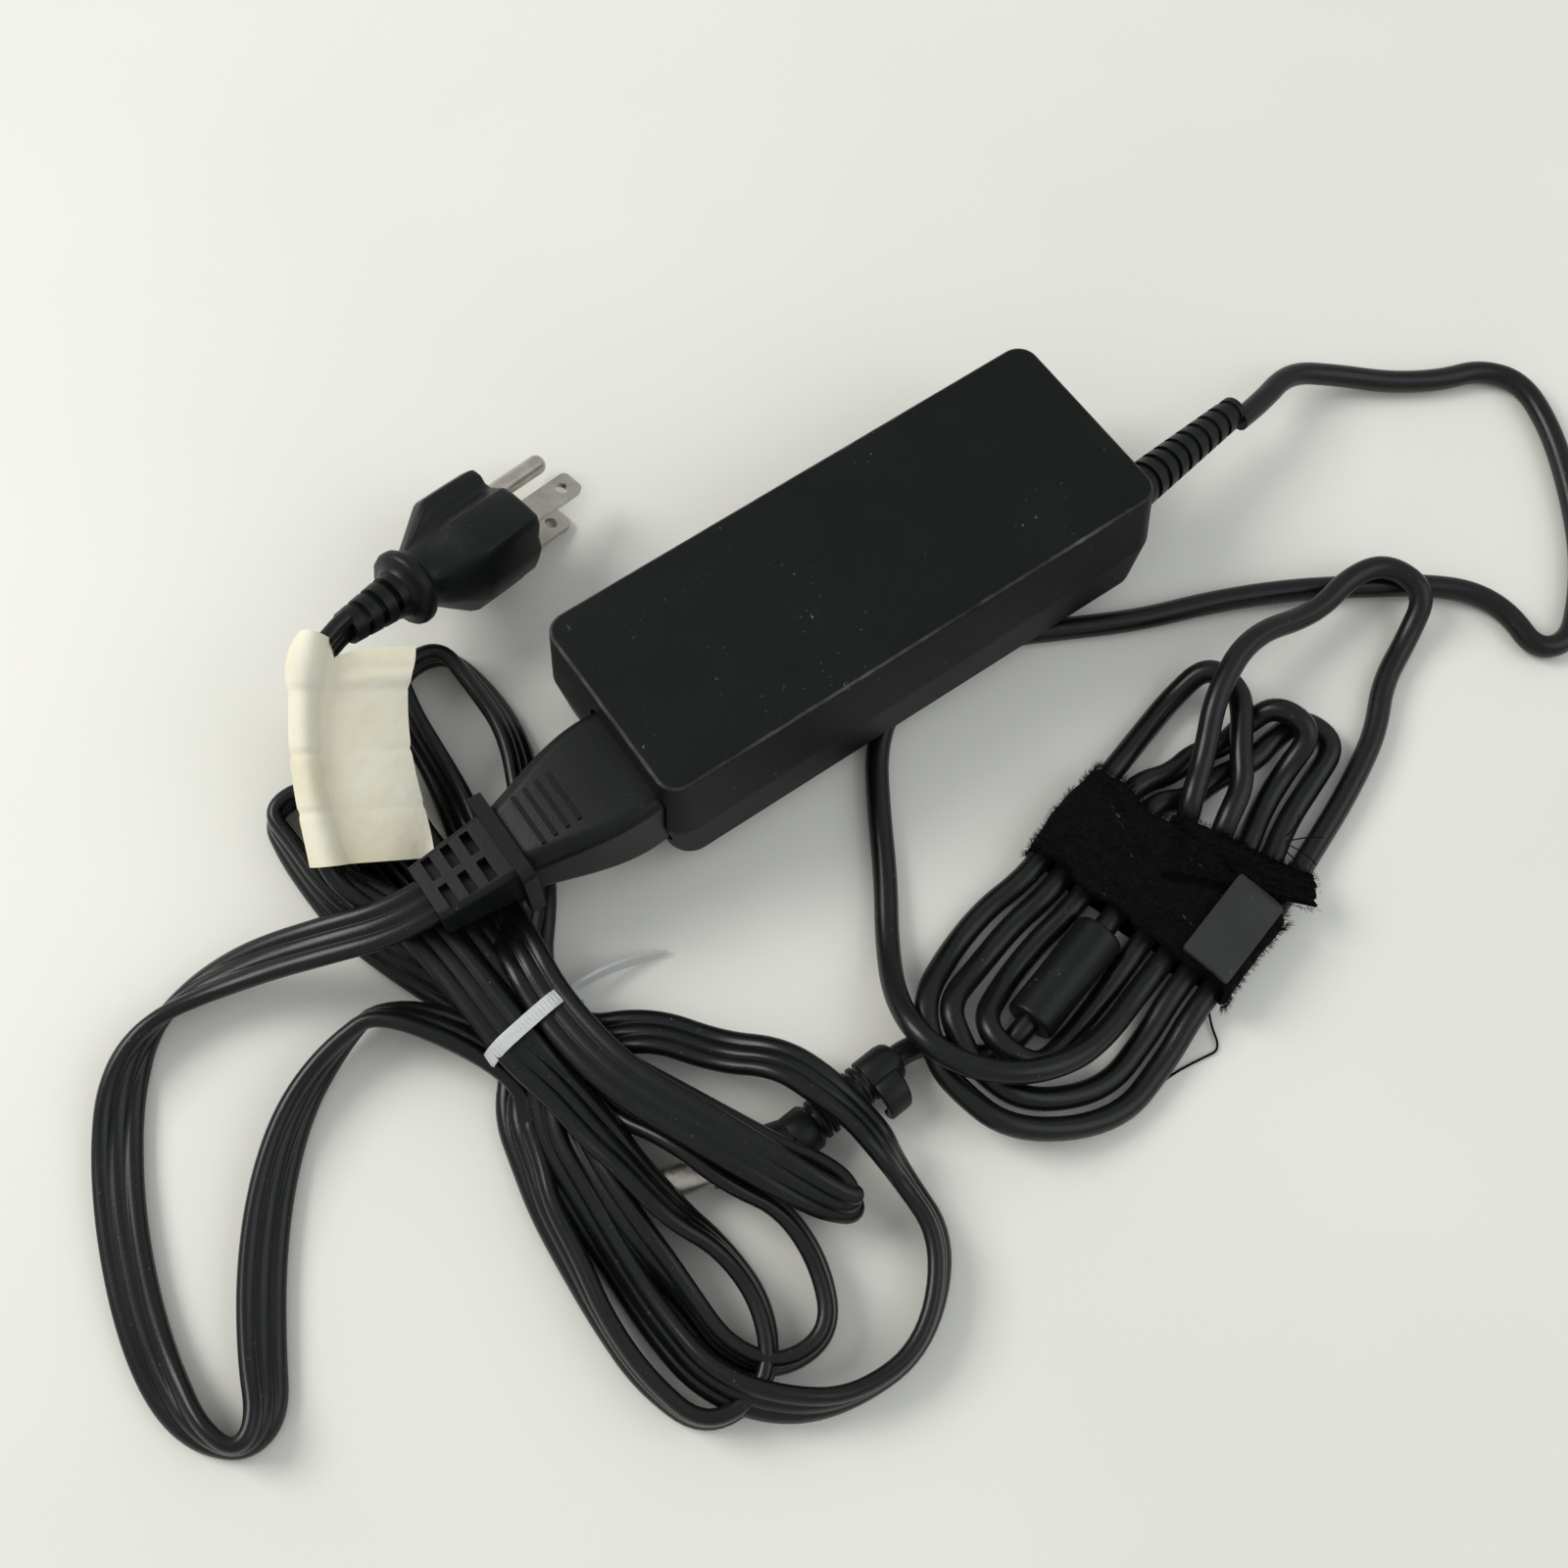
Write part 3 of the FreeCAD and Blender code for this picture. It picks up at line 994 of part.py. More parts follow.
def make_ac_connector():
    """Connector that fits the inlet: moulded body, contacts and slotted relief, drawn level."""
    start = NOSE_FRONT_X
    profile = ((0.0, BODY_WIDTH, BODY_HEIGHT, 3.0), (0.42, BODY_WIDTH - 0.6, BODY_HEIGHT - 0.6, 3.4),
               (0.78, 21.5, 17.4, 4.0), (1.0, 18.0, 15.0, 4.0))
    outlines = [end_outline(start - share * BODY_LENGTH, width / 2, height / 2, corner)
                for share, width, height, corner in profile]
    body = Part.makeLoft(outlines, True, False)
    flange_x = start - BODY_LENGTH
    flange = Part.Face(end_outline(flange_x, 11.8, 9.6, 2.0)).extrude(Vector(-FLANGE_LENGTH, 0, 0))
    nose = nose_solid(start - 0.5, start + NOSE_LENGTH, 0)
    body = body.fuse([nose, flange])
    cuts = []
    contacts = []
    contact_rear = start + 0.6
    contact_front = start + NOSE_LENGTH - 1.6
    for place in pin_places():
        cuts.append(pin_box(place, contact_rear, start + NOSE_LENGTH + 1, CLEAR))
        cuts.append(pin_box(place, contact_rear - 0.2, contact_front + 0.1, 1.0))
        contact = pin_box(place, contact_rear, contact_front, 0.9)
        contacts.append(contact.cut(pin_box(place, contact_rear - 1, contact_front + 1, CLEAR)))
    body = body.cut(cuts)
    for row in range(4):
        x = start - 16.5 - row * 3.0
        ridge = box(x - 0.9, x, INLET_Y - 6.5, INLET_Y + 6.5, AXIS_HEIGHT + 6.0,
                    AXIS_HEIGHT + BODY_HEIGHT / 2 - 0.1 - 0.38 * row)
        body = body.fuse(ridge)
    relief_x = flange_x - FLANGE_LENGTH
    relief = Part.makeLoft([end_outline(relief_x, 8.6, 6.6, 1.6),
                            end_outline(relief_x - AC_RELIEF_LENGTH, 7.3, 5.0, 1.6)], True, True)
    slots = []
    for row in range(3):
        x = relief_x - 3.4 - row * 4.8
        for side in (-1, 1):
            across0, across1 = sorted((INLET_Y + side * 0.9, INLET_Y + side * 6.4))
            for up in (-1, 1):
                low, high = sorted((AXIS_HEIGHT + up * 3.4, AXIS_HEIGHT + up * 8.0))
                slots.append(box(x - 2.2, x, across0, across1, low, high))
    relief = relief.cut(slots)
    save("ac_connector_body", seat(body))
    save("ac_connector_contacts", seat(group(contacts)))
    save("ac_connector_relief", seat(relief))
    return seat_point(relief_x - AC_RELIEF_LENGTH, INLET_Y, AXIS_HEIGHT)


def make_ac_lead():
    """Mains connector, cord, hank, tie, label and plug."""
    exit_point = make_ac_connector()
    matrix = plug_matrix(plug_face_height())
    for name, shape in make_plug_shapes().items():
        save(name, placed(shape, matrix))
    stations = ac_hank_stations()
    start, start_way = stations[0]
    points = [exit_point, exit_point + Vector(-8.0, 0, 0)] + [Vector(*p) for p in AC_LEAD_POINTS]
    points += [start - start_way * 10.5, start]
    free_cord("ac_cord_lead", points, AC_CORD)
    hank_cord("ac_cord_hank", stations, AC_CORD)
    end, end_way = stations[-1]
    forward = plug_axes()[0]
    plug_exit = matrix.multVec(Vector(PLUG_RELIEF_BACK, PLUG_CENTRE_Y, 0))
    bend = plug_exit - forward * 9.0
    points = [end, end + end_way * 12.0] + [Vector(*p) for p in AC_PLUG_LEAD_POINTS] + [bend, plug_exit]
    free_cord("ac_plug_lead", points, AC_CORD)
    make_label(Vector(*AC_PLUG_LEAD_POINTS[-1]), bend)
    make_tie()


def placed(shape, matrix):
    """Copy of a shape under a rigid placement."""
    moved = shape.copy()
    moved.Placement = FreeCAD.Placement(matrix)
    return moved


def make_label(low, high):
    """Paper sleeve round the plug lead with its flag to one side."""
    way = (high - low).normalize()
    start = low + way * ((high - low).Length - LABEL_LENGTH) * 0.5
    inner = AC_CORD / 2 + FIT
    sleeve = pipe(tuple(start), tuple(start + way * LABEL_LENGTH), inner + LABEL_THICK, inner)
    side = way.cross(Vector(0, 0, 1)).normalize()
    normal = side.cross(way)
    base = start + normal * inner
    flag = Part.Face(Part.makePolygon([base, base + way * LABEL_LENGTH,
                                       base + way * LABEL_LENGTH + side * (LABEL_WIDTH + inner),
                                       base + side * (LABEL_WIDTH + inner), base]))
    save("label_flag", sleeve.fuse(flag.extrude(normal * LABEL_THICK)))


def make_tie():
    """Cable tie round the mains hank, with its head and its loose tail."""
    middle = AC_TIE_MIDDLE
    half = 1.5 * AC_PITCH + AC_CORD / 2 + CLEAR
    low = AC_LOW_LANE - AC_CORD / 2 - CLEAR
    high = AC_HIGH_LANE + AC_CORD / 2 + CLEAR
    ring = band(-half, half, low, high, TIE_THICK, TIE_WIDTH, 3.0,
                lambda a, b, depth: Vector(middle.x + a, middle.y + depth, b))
    outer = middle.x + half + TIE_THICK
    head = box(outer - 0.3, outer + 3.6, middle.y - 2.4, middle.y + 2.4, 2.2, 7.0)
    root = Vector(outer + 3.0, middle.y, 4.6)
    tip = root + Vector(TIE_TAIL, -2.6, -3.4)
    way = (tip - root).normalize()
    side = Vector(0, 0, 1).cross(way).normalize()
    normal = way.cross(side)
    corner = root - side * (TIE_WIDTH / 2) - normal * (TIE_THICK / 2)
    tail = Part.Face(Part.makePolygon([corner, corner + side * TIE_WIDTH,
                                       corner + side * TIE_WIDTH + normal * TIE_THICK,
                                       corner + normal * TIE_THICK, corner])).extrude(tip - root)
    save("cable_tie", ring.fuse([head, tail]))


CASE = make_bottom_case()
COVER = make_top_cover()
SEAT_SHIFT_Y, SEAT_SHIFT_Z = seat_shifts(CASE, COVER)
print("tilt", round(math.degrees(TILT), 2), "shifts", round(SEAT_SHIFT_Y, 3), round(SEAT_SHIFT_Z, 3))
save("bottom_case", seat(CASE))
save("top_cover", seat(COVER))
save("inlet_housing", seat(make_inlet_housing()))
save("inlet_pins", seat(make_inlet_pins()))
save("inlet_leads", seat(make_inlet_leads()))
save("circuit_board", seat(make_board()))
save("insulation_sheet", seat(make_insulation_sheet()))
make_mains_side()
make_power_stage()
make_low_voltage_side()
make_dc_lead()
make_ac_lead()
for node, solid in sorted(SHAPES.items()):
    bounds = solid.BoundBox
    print(node, len(solid.Solids), "valid" if solid.isValid() else "INVALID", round(solid.Volume, 1),
          [round(v, 1) for v in (bounds.XMin, bounds.XMax, bounds.YMin, bounds.YMax, bounds.ZMin, bounds.ZMax)])
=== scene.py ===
"""Laptop power adapter: the looks of its brick, its two cords and what is on them, built round the model.

Sizes are in millimetres, and times MM they are Blender's metres. The frame is the model's own: +X along the
brick from its mains inlet to its low-voltage end, +Y to its far side and +Z up, with the origin on the table
under the middle of the brick.
"""
from __future__ import annotations

import json
import logging
import math
import random
from collections.abc import Callable, Iterable, Sequence
from dataclasses import dataclass
from enum import Enum, IntEnum

import bmesh
import bpy
from mathutils import Matrix, Vector

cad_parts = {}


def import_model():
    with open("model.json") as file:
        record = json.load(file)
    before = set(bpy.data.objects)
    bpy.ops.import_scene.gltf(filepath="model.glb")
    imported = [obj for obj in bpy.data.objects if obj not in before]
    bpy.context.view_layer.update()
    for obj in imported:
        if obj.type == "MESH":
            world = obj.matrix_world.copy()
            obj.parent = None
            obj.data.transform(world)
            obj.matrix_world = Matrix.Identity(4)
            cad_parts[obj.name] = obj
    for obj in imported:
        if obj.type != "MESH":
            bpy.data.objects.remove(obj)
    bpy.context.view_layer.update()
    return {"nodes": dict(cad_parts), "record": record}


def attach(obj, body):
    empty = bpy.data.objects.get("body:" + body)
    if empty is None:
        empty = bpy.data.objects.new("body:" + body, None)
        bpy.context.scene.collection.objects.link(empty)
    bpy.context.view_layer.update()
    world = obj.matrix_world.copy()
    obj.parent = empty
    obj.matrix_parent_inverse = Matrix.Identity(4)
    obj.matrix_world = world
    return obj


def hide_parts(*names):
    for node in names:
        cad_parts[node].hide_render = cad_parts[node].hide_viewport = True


MM = 0.001
LOG = logging.getLogger("adapter")
CORD_STEPS = 8
Colour = tuple[float, float, float]


class Body(Enum):
    """The two rigid bodies of the model."""

    BRICK = "brick"
    MAINS_LEAD = "mains_lead"


class Axis(IntEnum):
    """The axes along which a piece's edges are picked."""

    X = 0
    Z = 2


class MixSocket(IntEnum):
    """The numbered sockets of a Mix node that blends colours."""

    SHARE = 0
    FIRST = 6
    SECOND = 7
    RESULT = 2


# Shader helpers


class Shade:
    """A shader socket that can be used in Python expressions."""

    def __init__(self, bench: "ShaderBench", socket: bpy.types.NodeSocket) -> None:
        """Keep the socket and the bench that owns it."""
        self.bench = bench
        self.socket = socket

    def _maths(self, operation: str, *values: "Shade | float") -> "Shade":
        """Add one Math node."""
        return self.bench.node("ShaderNodeMath", {"operation": operation}, dict(enumerate(values)))

    def __add__(self, other: "Shade | float") -> "Shade":
        """Sum."""
        return self._maths("ADD", self, other)

    __radd__ = __add__

    def __mul__(self, other: "Shade | float") -> "Shade":
        """Product."""
        return self._maths("MULTIPLY", self, other)

    __rmul__ = __mul__

    def __sub__(self, other: "Shade | float") -> "Shade":
        """Difference."""
        return self._maths("SUBTRACT", self, other)

    def __rsub__(self, other: "Shade | float") -> "Shade":
        """Difference from a number."""
        return self._maths("SUBTRACT", other, self)

    def power(self, exponent: float) -> "Shade":
        """This raised to a power."""
        return self._maths("POWER", self, exponent)

    def absolute(self) -> "Shade":
        """This without its sign."""
        return self._maths("ABSOLUTE", self)

    def at_least(self, other: "Shade | float") -> "Shade":
        """The greater of this and another."""
        return self._maths("MAXIMUM", self, other)

    def clamped(self) -> "Shade":
        """This held between nought and one."""
        return self.bench.node("ShaderNodeClamp", {}, {"Value": self})


def dyed(colour: Colour, share: float) -> Colour:
    """The colour made darker or lighter."""
    return tuple(value * share for value in colour)


class ShaderBench:
    """One material and the nodes put on it."""

    def __init__(self, name: str) -> None:
        """Start an empty material with a Principled shader.

        Args:
            name: The material's name.
        """
        self.material = bpy.data.materials.new(name)
        self.material.use_nodes = True
        self.tree = self.material.node_tree
        self.tree.nodes.clear()
        output = self.tree.nodes.new("ShaderNodeOutputMaterial")
        self.surface = self.tree.nodes.new("ShaderNodeBsdfPrincipled")
        self.tree.links.new(self.surface.outputs[0], output.inputs["Surface"])

    def node(self, kind: str, settings: dict[str, object], inputs: dict[object, object],
             output: object = 0) -> Shade:
        """Add a node.

        Args:
            kind: The node's type.
            settings: Its properties, set before its sockets.
            inputs: Values or links for its sockets, by name or number.
            output: The output to give back.

        Returns:
            The chosen output.
        """
        made = self.tree.nodes.new(kind)
        for key, value in settings.items():
            setattr(made, key, value)
        for key, value in inputs.items():
            self.feed(made.inputs[key], value)
        return Shade(self, made.outputs[output])

    def feed(self, socket: bpy.types.NodeSocket, value: object) -> None:
        """Give a socket a value or a link.

        Args:
            socket: The socket.
            value: Another node's output, a colour or a plain value.
        """
        if isinstance(value, Shade):
            self.tree.links.new(value.socket, socket)
        elif isinstance(value, tuple) and len(value) == 3 and socket.type == "RGBA":
            socket.default_value = (*value, 1.0)
        else:
            socket.default_value = value

    def set(self, **sockets: object) -> None:
        """Give the Principled shader values or links; underscores stand for spaces."""
        for key, value in sockets.items():
            self.feed(self.surface.inputs[key.replace("_", " ")], value)

    def place(self, scale: float | tuple[float, float, float] = 1.0) -> Shade:
        """Object coordinates, scaled.

        Args:
            scale: One factor, or one for each axis.

        Returns:
            The scaled coordinates.
        """
        where = self.node("ShaderNodeTexCoord", {}, {}, "Object")
        size = (scale,) * 3 if isinstance(scale, (int, float)) else scale
        return self.node("ShaderNodeMapping", {}, {"Vector": where, "Scale": size})

    def axes(self, where: Shade) -> list[Shade]:
        """The three coordinates of a place."""
        return [self.node("ShaderNodeSeparateXYZ", {}, {"Vector": where}, axis) for axis in "XYZ"]

    def noise(self, scale: float, detail: float = 3.0, roughness: float = 0.55,
              where: Shade | None = None) -> Shade:
        """Fractal noise from nought to one, in object coordinates unless another place is given."""
        return self.node("ShaderNodeTexNoise", {}, {"Vector": where or self.place(), "Scale": scale,
                                                    "Detail": detail, "Roughness": roughness})

    def ramp(self, value: Shade, low: float, high: float) -> Shade:
        """This value spread so that low gives nought and high gives one."""
        return self.node("ShaderNodeMapRange", {"clamp": True},
                         {"Value": value, "From Min": low, "From Max": high})

    def mix(self, share: Shade | float, first: Colour | Shade, second: Colour | Shade) -> Shade:
        """Blend two colours."""
        inputs = {MixSocket.SHARE: share, MixSocket.FIRST: first, MixSocket.SECOND: second}
        return self.node("ShaderNodeMix", {"data_type": "RGBA"}, inputs, MixSocket.RESULT)

    def tone(self, share: Shade, colour: Colour, dark: float, light: float = 1.0) -> Shade:
        """A colour that runs from a darker to a lighter form of itself."""
        return self.mix(share, dyed(colour, dark), dyed(colour, light))

    def uneven(self, share: Shade, middle: float, spread: float) -> Shade:
        """A roughness that varies by a spread about its middle."""
        return (share * spread + (middle - spread / 2)).clamped()

    def bump(self, height: Shade, distance: float, strength: float = 1.0,
             after: Shade | None = None) -> Shade:
        """A normal raised by a height.

        Args:
            height: The height, from nought to one.
            distance: What a height of one stands for, in metres.
            strength: How much of it shows.
            after: A normal that already has coarser shapes.

        Returns:
            The normal.
        """
        inputs: dict[object, object] = {"Height": height, "Distance": distance, "Strength": strength}
        if after is not None:
            inputs["Normal"] = after
        return self.node("ShaderNodeBump", {}, inputs)


# Finishes, where a scale says how often a noise repeats in a metre


@dataclass(frozen=True)
class Finish:
    """What all finishes share: a name, which is its slot in the record, and a colour."""

    name: str
    colour: Colour

    def dress(self, bench: ShaderBench) -> None:
        """Put the finish on its material; each finish has its own way."""
        raise NotImplementedError

    def material(self) -> bpy.types.Material:
        """Build the material.

        Returns:
            The material.
        """
        bench = ShaderBench(self.name)
        self.dress(bench)
        return bench.material


@dataclass(frozen=True)
class GrainedPlastic(Finish):
    """Black moulded plastic with a fine spark-eroded grain and a few pale scuffs."""

    roughness: float
    grain_scale: float
    grain_depth: float
    scuffs: float = 0.0
    shine: float = 0.25
    unevenness: float = 0.1
    grain_strength: float = 0.6
    patch_scale: float = 45.0
    speck_scale: float = 560.0
    speck_edges: tuple[float, float] = (0.665, 0.73)
    cluster_edges: tuple[float, float] = (0.48, 0.62)
    # Pale colour of the scuffs; on the case it also colours the painted highlight line along the upper edge.
    scuff_and_highlight_colour: Colour = (0.16, 0.165, 0.16)

    def wear_and_highlight(self, bench: ShaderBench) -> Shade:
        """Where the plastic is scuffed pale: small specks in a few clusters.

        Args:
            bench: The material's bench.

        Returns:
            The share of the scuffs' colour.
        """
        specks = bench.ramp(bench.noise(self.speck_scale, 3.0, 0.7), *self.speck_edges)
        cluster = bench.ramp(bench.noise(self.patch_scale, 2.0, 0.5), *self.cluster_edges)
        return specks * cluster * self.scuffs

    def relief(self, bench: ShaderBench) -> Shade | None:
        """A coarser shape under the grain; the plain moulded pieces have none."""
        return None

    def dress(self, bench: ShaderBench) -> None:
        """Put the finish on its material.

        Args:
            bench: The material's bench.
        """
        grain = bench.noise(self.grain_scale, 2.0, 0.5)
        cloud = bench.noise(self.patch_scale, 3.0, 0.6)
        tone = bench.tone(bench.ramp(cloud, 0.3, 0.7), self.colour, 0.75, 1.3)
        bench.set(Base_Color=bench.mix(self.wear_and_highlight(bench), tone, self.scuff_and_highlight_colour),
                  Specular_IOR_Level=self.shine,
                  Roughness=bench.uneven(bench.ramp(cloud, 0.2, 0.8), self.roughness, self.unevenness),
                  Normal=bench.bump(grain, self.grain_depth, self.grain_strength, self.relief(bench)))


@dataclass(frozen=True)
class ShellPlastic(GrainedPlastic):
    """The case's plastic, pale along its upper edge from rubbed wear and a painted highlight, with a fine
    groove where its halves meet.

    The sizes follow the case's own directions, before it is tilted on its cord.
    """

    half_length: float = 66.0
    half_width: float = 25.5
    height: float = 34.0
    corner: float = 5.0
    tilt: float = 8.268
    hinge: float = 24.6
    shift: tuple[float, float] = (-2.56, 0.025)
    seam: float = 15.0
    groove_edges: tuple[float, float] = (0.08, 0.30)
    groove_depth: float = 0.3
    groove_strength: float = 0.8
    rub_and_highlight_edges: tuple[float, float] = (-0.74, -0.48)
    raggedness: float = 0.5
    least_rub_and_highlight: float = 0.06
    rub_and_highlight_fading: float = 0.6

    def straightened(self, bench: ShaderBench) -> Shade:
        """Object coordinates turned back to the case's own directions.

        Args:
            bench: The material's bench.

        Returns:
            The turned coordinates.
        """
        turn = math.radians(self.tilt)
        cosine, sine = math.cos(turn), math.sin(turn)
        behind = self.shift[0] + self.hinge
        offset = (0.0, (self.hinge - behind * cosine + self.shift[1] * sine) * MM,
                  (-behind * sine - self.shift[1] * cosine) * MM)
        return bench.node("ShaderNodeMapping", {}, {"Vector": bench.place(), "Location": offset,
                                                    "Rotation": (turn, 0.0, 0.0)})

    def relief(self, bench: ShaderBench) -> Shade | None:
        """The groove where the case's two halves meet.

        Args:
            bench: The material's bench.

        Returns:
            The normal with the groove.
        """
        height = bench.axes(self.straightened(bench))[2]
        near, far = self.groove_edges
        ridge = bench.ramp((height - self.seam * MM).absolute(), near * MM, far * MM)
        return bench.bump(ridge, self.groove_depth * MM, self.groove_strength)

    def wear_and_highlight(self, bench: ShaderBench) -> Shade:
        """Specks all over, and a thin broken line along the upper edge of the case that is partly rubbed wear
        and partly painted highlight.

        Args:
            bench: The material's bench.

        Returns:
            The share of the pale colour, for the scuffs and the painted highlight line.
        """
        x, y, z = bench.axes(self.straightened(bench))
        beyond_x = (x.absolute() - (self.half_length - self.corner) * MM).at_least(0.0)
        beyond_y = (y.absolute() - (self.half_width - self.corner) * MM).at_least(0.0)
        outline = (beyond_x * beyond_x + beyond_y * beyond_y).power(0.5) - self.corner * MM
        # Painted highlight with rubbed wear: a pale line that peaks at the middle of the rounded upper edge.
        edge = outline + (z - self.height * MM)
        ragged = edge + (bench.noise(300.0, 4.0, 0.65) - 0.5) * self.raggedness * MM
        line = bench.ramp(ragged, self.rub_and_highlight_edges[0] * MM, self.rub_and_highlight_edges[1] * MM)
        fading = bench.ramp(bench.noise(42.0, 3.0, 0.6), 0.35, 0.65)
        return (super().wear_and_highlight(bench) + line * (fading * self.rub_and_highlight_fading + self.least_rub_and_highlight)).clamped()


@dataclass(frozen=True)
class CordJacket(Finish):
    """Extruded black jacket: satin and slightly uneven, with specks of dust."""

    roughness: float
    dust: float
    shine: float
    unevenness: float = 0.14
    speck_edges: tuple[float, float] = (0.70, 0.78)
    dust_colour: Colour = (0.2, 0.2, 0.19)

    def dress(self, bench: ShaderBench) -> None:
        """Put the finish on its material.

        Args:
            bench: The material's bench.
        """
        cloud = bench.noise(70.0, 4.0, 0.6)
        speck = bench.ramp(bench.noise(900.0, 2.0, 0.6), *self.speck_edges) * self.dust
        tone = bench.tone(bench.ramp(cloud, 0.3, 0.7), self.colour, 0.75, 1.3)
        bench.set(Base_Color=bench.mix(speck, tone, self.dust_colour), Specular_IOR_Level=self.shine,
                  Roughness=bench.uneven(bench.ramp(cloud, 0.25, 0.75), self.roughness, self.unevenness),
                  Normal=bench.bump(bench.noise(1500.0, 2.0, 0.5), 0.00006, 0.35))


@dataclass(frozen=True)
class PlatedMetal(Finish):
    """Worn metal plate."""

    roughness: float
    unevenness: float = 0.16
    brushing: tuple[float, float, float] = (1.0, 0.12, 1.0)

    def dress(self, bench: ShaderBench) -> None:
        """Put the finish on its material.

        Args:
            bench: The material's bench.
        """
        cloud = bench.noise(160.0, 4.0, 0.6)
        rub = bench.noise(900.0, 3.0, 0.6, bench.place(self.brushing))
        bench.set(Base_Color=bench.tone(bench.ramp(cloud, 0.35, 0.7), self.colour, 0.72), Metallic=1.0,
                  Roughness=bench.uneven(bench.ramp(rub, 0.3, 0.7), self.roughness, self.unevenness),
                  Normal=bench.bump(rub, 0.00003, 0.3))


@dataclass(frozen=True)
class Fleece(Finish):
    """Deep black pile that catches a little light at its tips, with bits of lint."""

    lint_colour: Colour = (0.07, 0.065, 0.065)
    lint_edges: tuple[float, float] = (0.76, 0.80)
    lint_stretch: tuple[float, float, float] = (1.0, 0.25, 1.0)
    pile_depth: float = 0.6

    def dress(self, bench: ShaderBench) -> None:
        """Put the finish on its material.

        Args:
            bench: The material's bench.
        """
        pile = bench.noise(1400.0, 3.0, 0.7)
        lint = bench.ramp(bench.noise(900.0, 1.0, 0.5, bench.place(self.lint_stretch)), *self.lint_edges)
        tone = bench.tone(bench.ramp(pile, 0.35, 0.75), self.colour, 0.5, 2.0)
        bench.set(Base_Color=bench.mix(lint, tone, self.lint_colour), Roughness=0.95,
                  Specular_IOR_Level=0.12, Normal=bench.bump(pile, self.pile_depth * MM))


@dataclass(frozen=True)
class ClearNylon(Finish):
    """Milky clear nylon."""

    def dress(self, bench: ShaderBench) -> None:
        """Put the finish on its material.

        Args:
            bench: The material's bench.
        """
        cloud = bench.noise(300.0, 3.0, 0.6)
        bench.set(Base_Color=bench.tone(cloud, self.colour, 0.9), Roughness=0.32,
                  Transmission_Weight=0.35, IOR=1.45, Normal=bench.bump(cloud, 0.0001, 0.3))


@dataclass(frozen=True)
class CreamPaper(Finish):
    """Handled cream paper with faint stains, crumples and fibres."""

    stain_tint: Colour = (0.9, 0.85, 0.72)
    spot_colour: Colour = (0.3, 0.22, 0.12)
    spot_edges: tuple[float, float] = (0.78, 0.82)
    crumple_depth: float = 0.8
    fibre_depth: float = 0.06

    def dress(self, bench: ShaderBench) -> None:
        """Put the finish on its material.

        Args:
            bench: The material's bench.
        """
        stain = bench.ramp(bench.noise(60.0, 4.0, 0.6), 0.4, 0.75)
        spots = bench.ramp(bench.noise(420.0, 1.0, 0.5), *self.spot_edges)
        stained = tuple(value * tint for value, tint in zip(self.colour, self.stain_tint))
        crumple = bench.bump(bench.noise(150.0, 3.0, 0.55), self.crumple_depth * MM, 0.4)
        fibre = bench.bump(bench.noise(1600.0, 3.0, 0.6), self.fibre_depth * MM, 0.4, crumple)
        tone = bench.mix(stain, self.colour, stained)
        bench.set(Base_Color=bench.mix(spots * 0.5, tone, self.spot_colour), Roughness=0.72,
                  Specular_IOR_Level=0.3, Normal=fibre)


@dataclass(frozen=True)
class Plain(Finish):
    """A small inner piece's finish: a tone with slight mottling."""

    roughness: float
    metallic: float = 0.0

    def dress(self, bench: ShaderBench) -> None:
        """Put the finish on its material.

        Args:
            bench: The material's bench.
        """
        tone = bench.tone(bench.noise(220.0, 3.0, 0.6), self.colour, 0.8)
        bench.set(Base_Color=tone, Metallic=self.metallic, Roughness=self.roughness,
                  Normal=bench.bump(bench.noise(1800.0), 0.00004, 0.3))


# Modelling helpers


def select_only(*pieces: bpy.types.Object) -> None:
    """Select these pieces and no others, the first of them active.

    Args:
        pieces: The pieces.
    """
    bpy.ops.object.select_all(action="DESELECT")
    for piece in pieces:
        piece.select_set(True)
    bpy.context.view_layer.objects.active = pieces[0]


def joined(*pieces: bpy.types.Object) -> bpy.types.Object:
    """Join pieces into the first of them.

    Args:
        pieces: The pieces.

    Returns:
        The first piece.
    """
    select_only(*pieces)
    bpy.ops.object.join()
    return pieces[0]


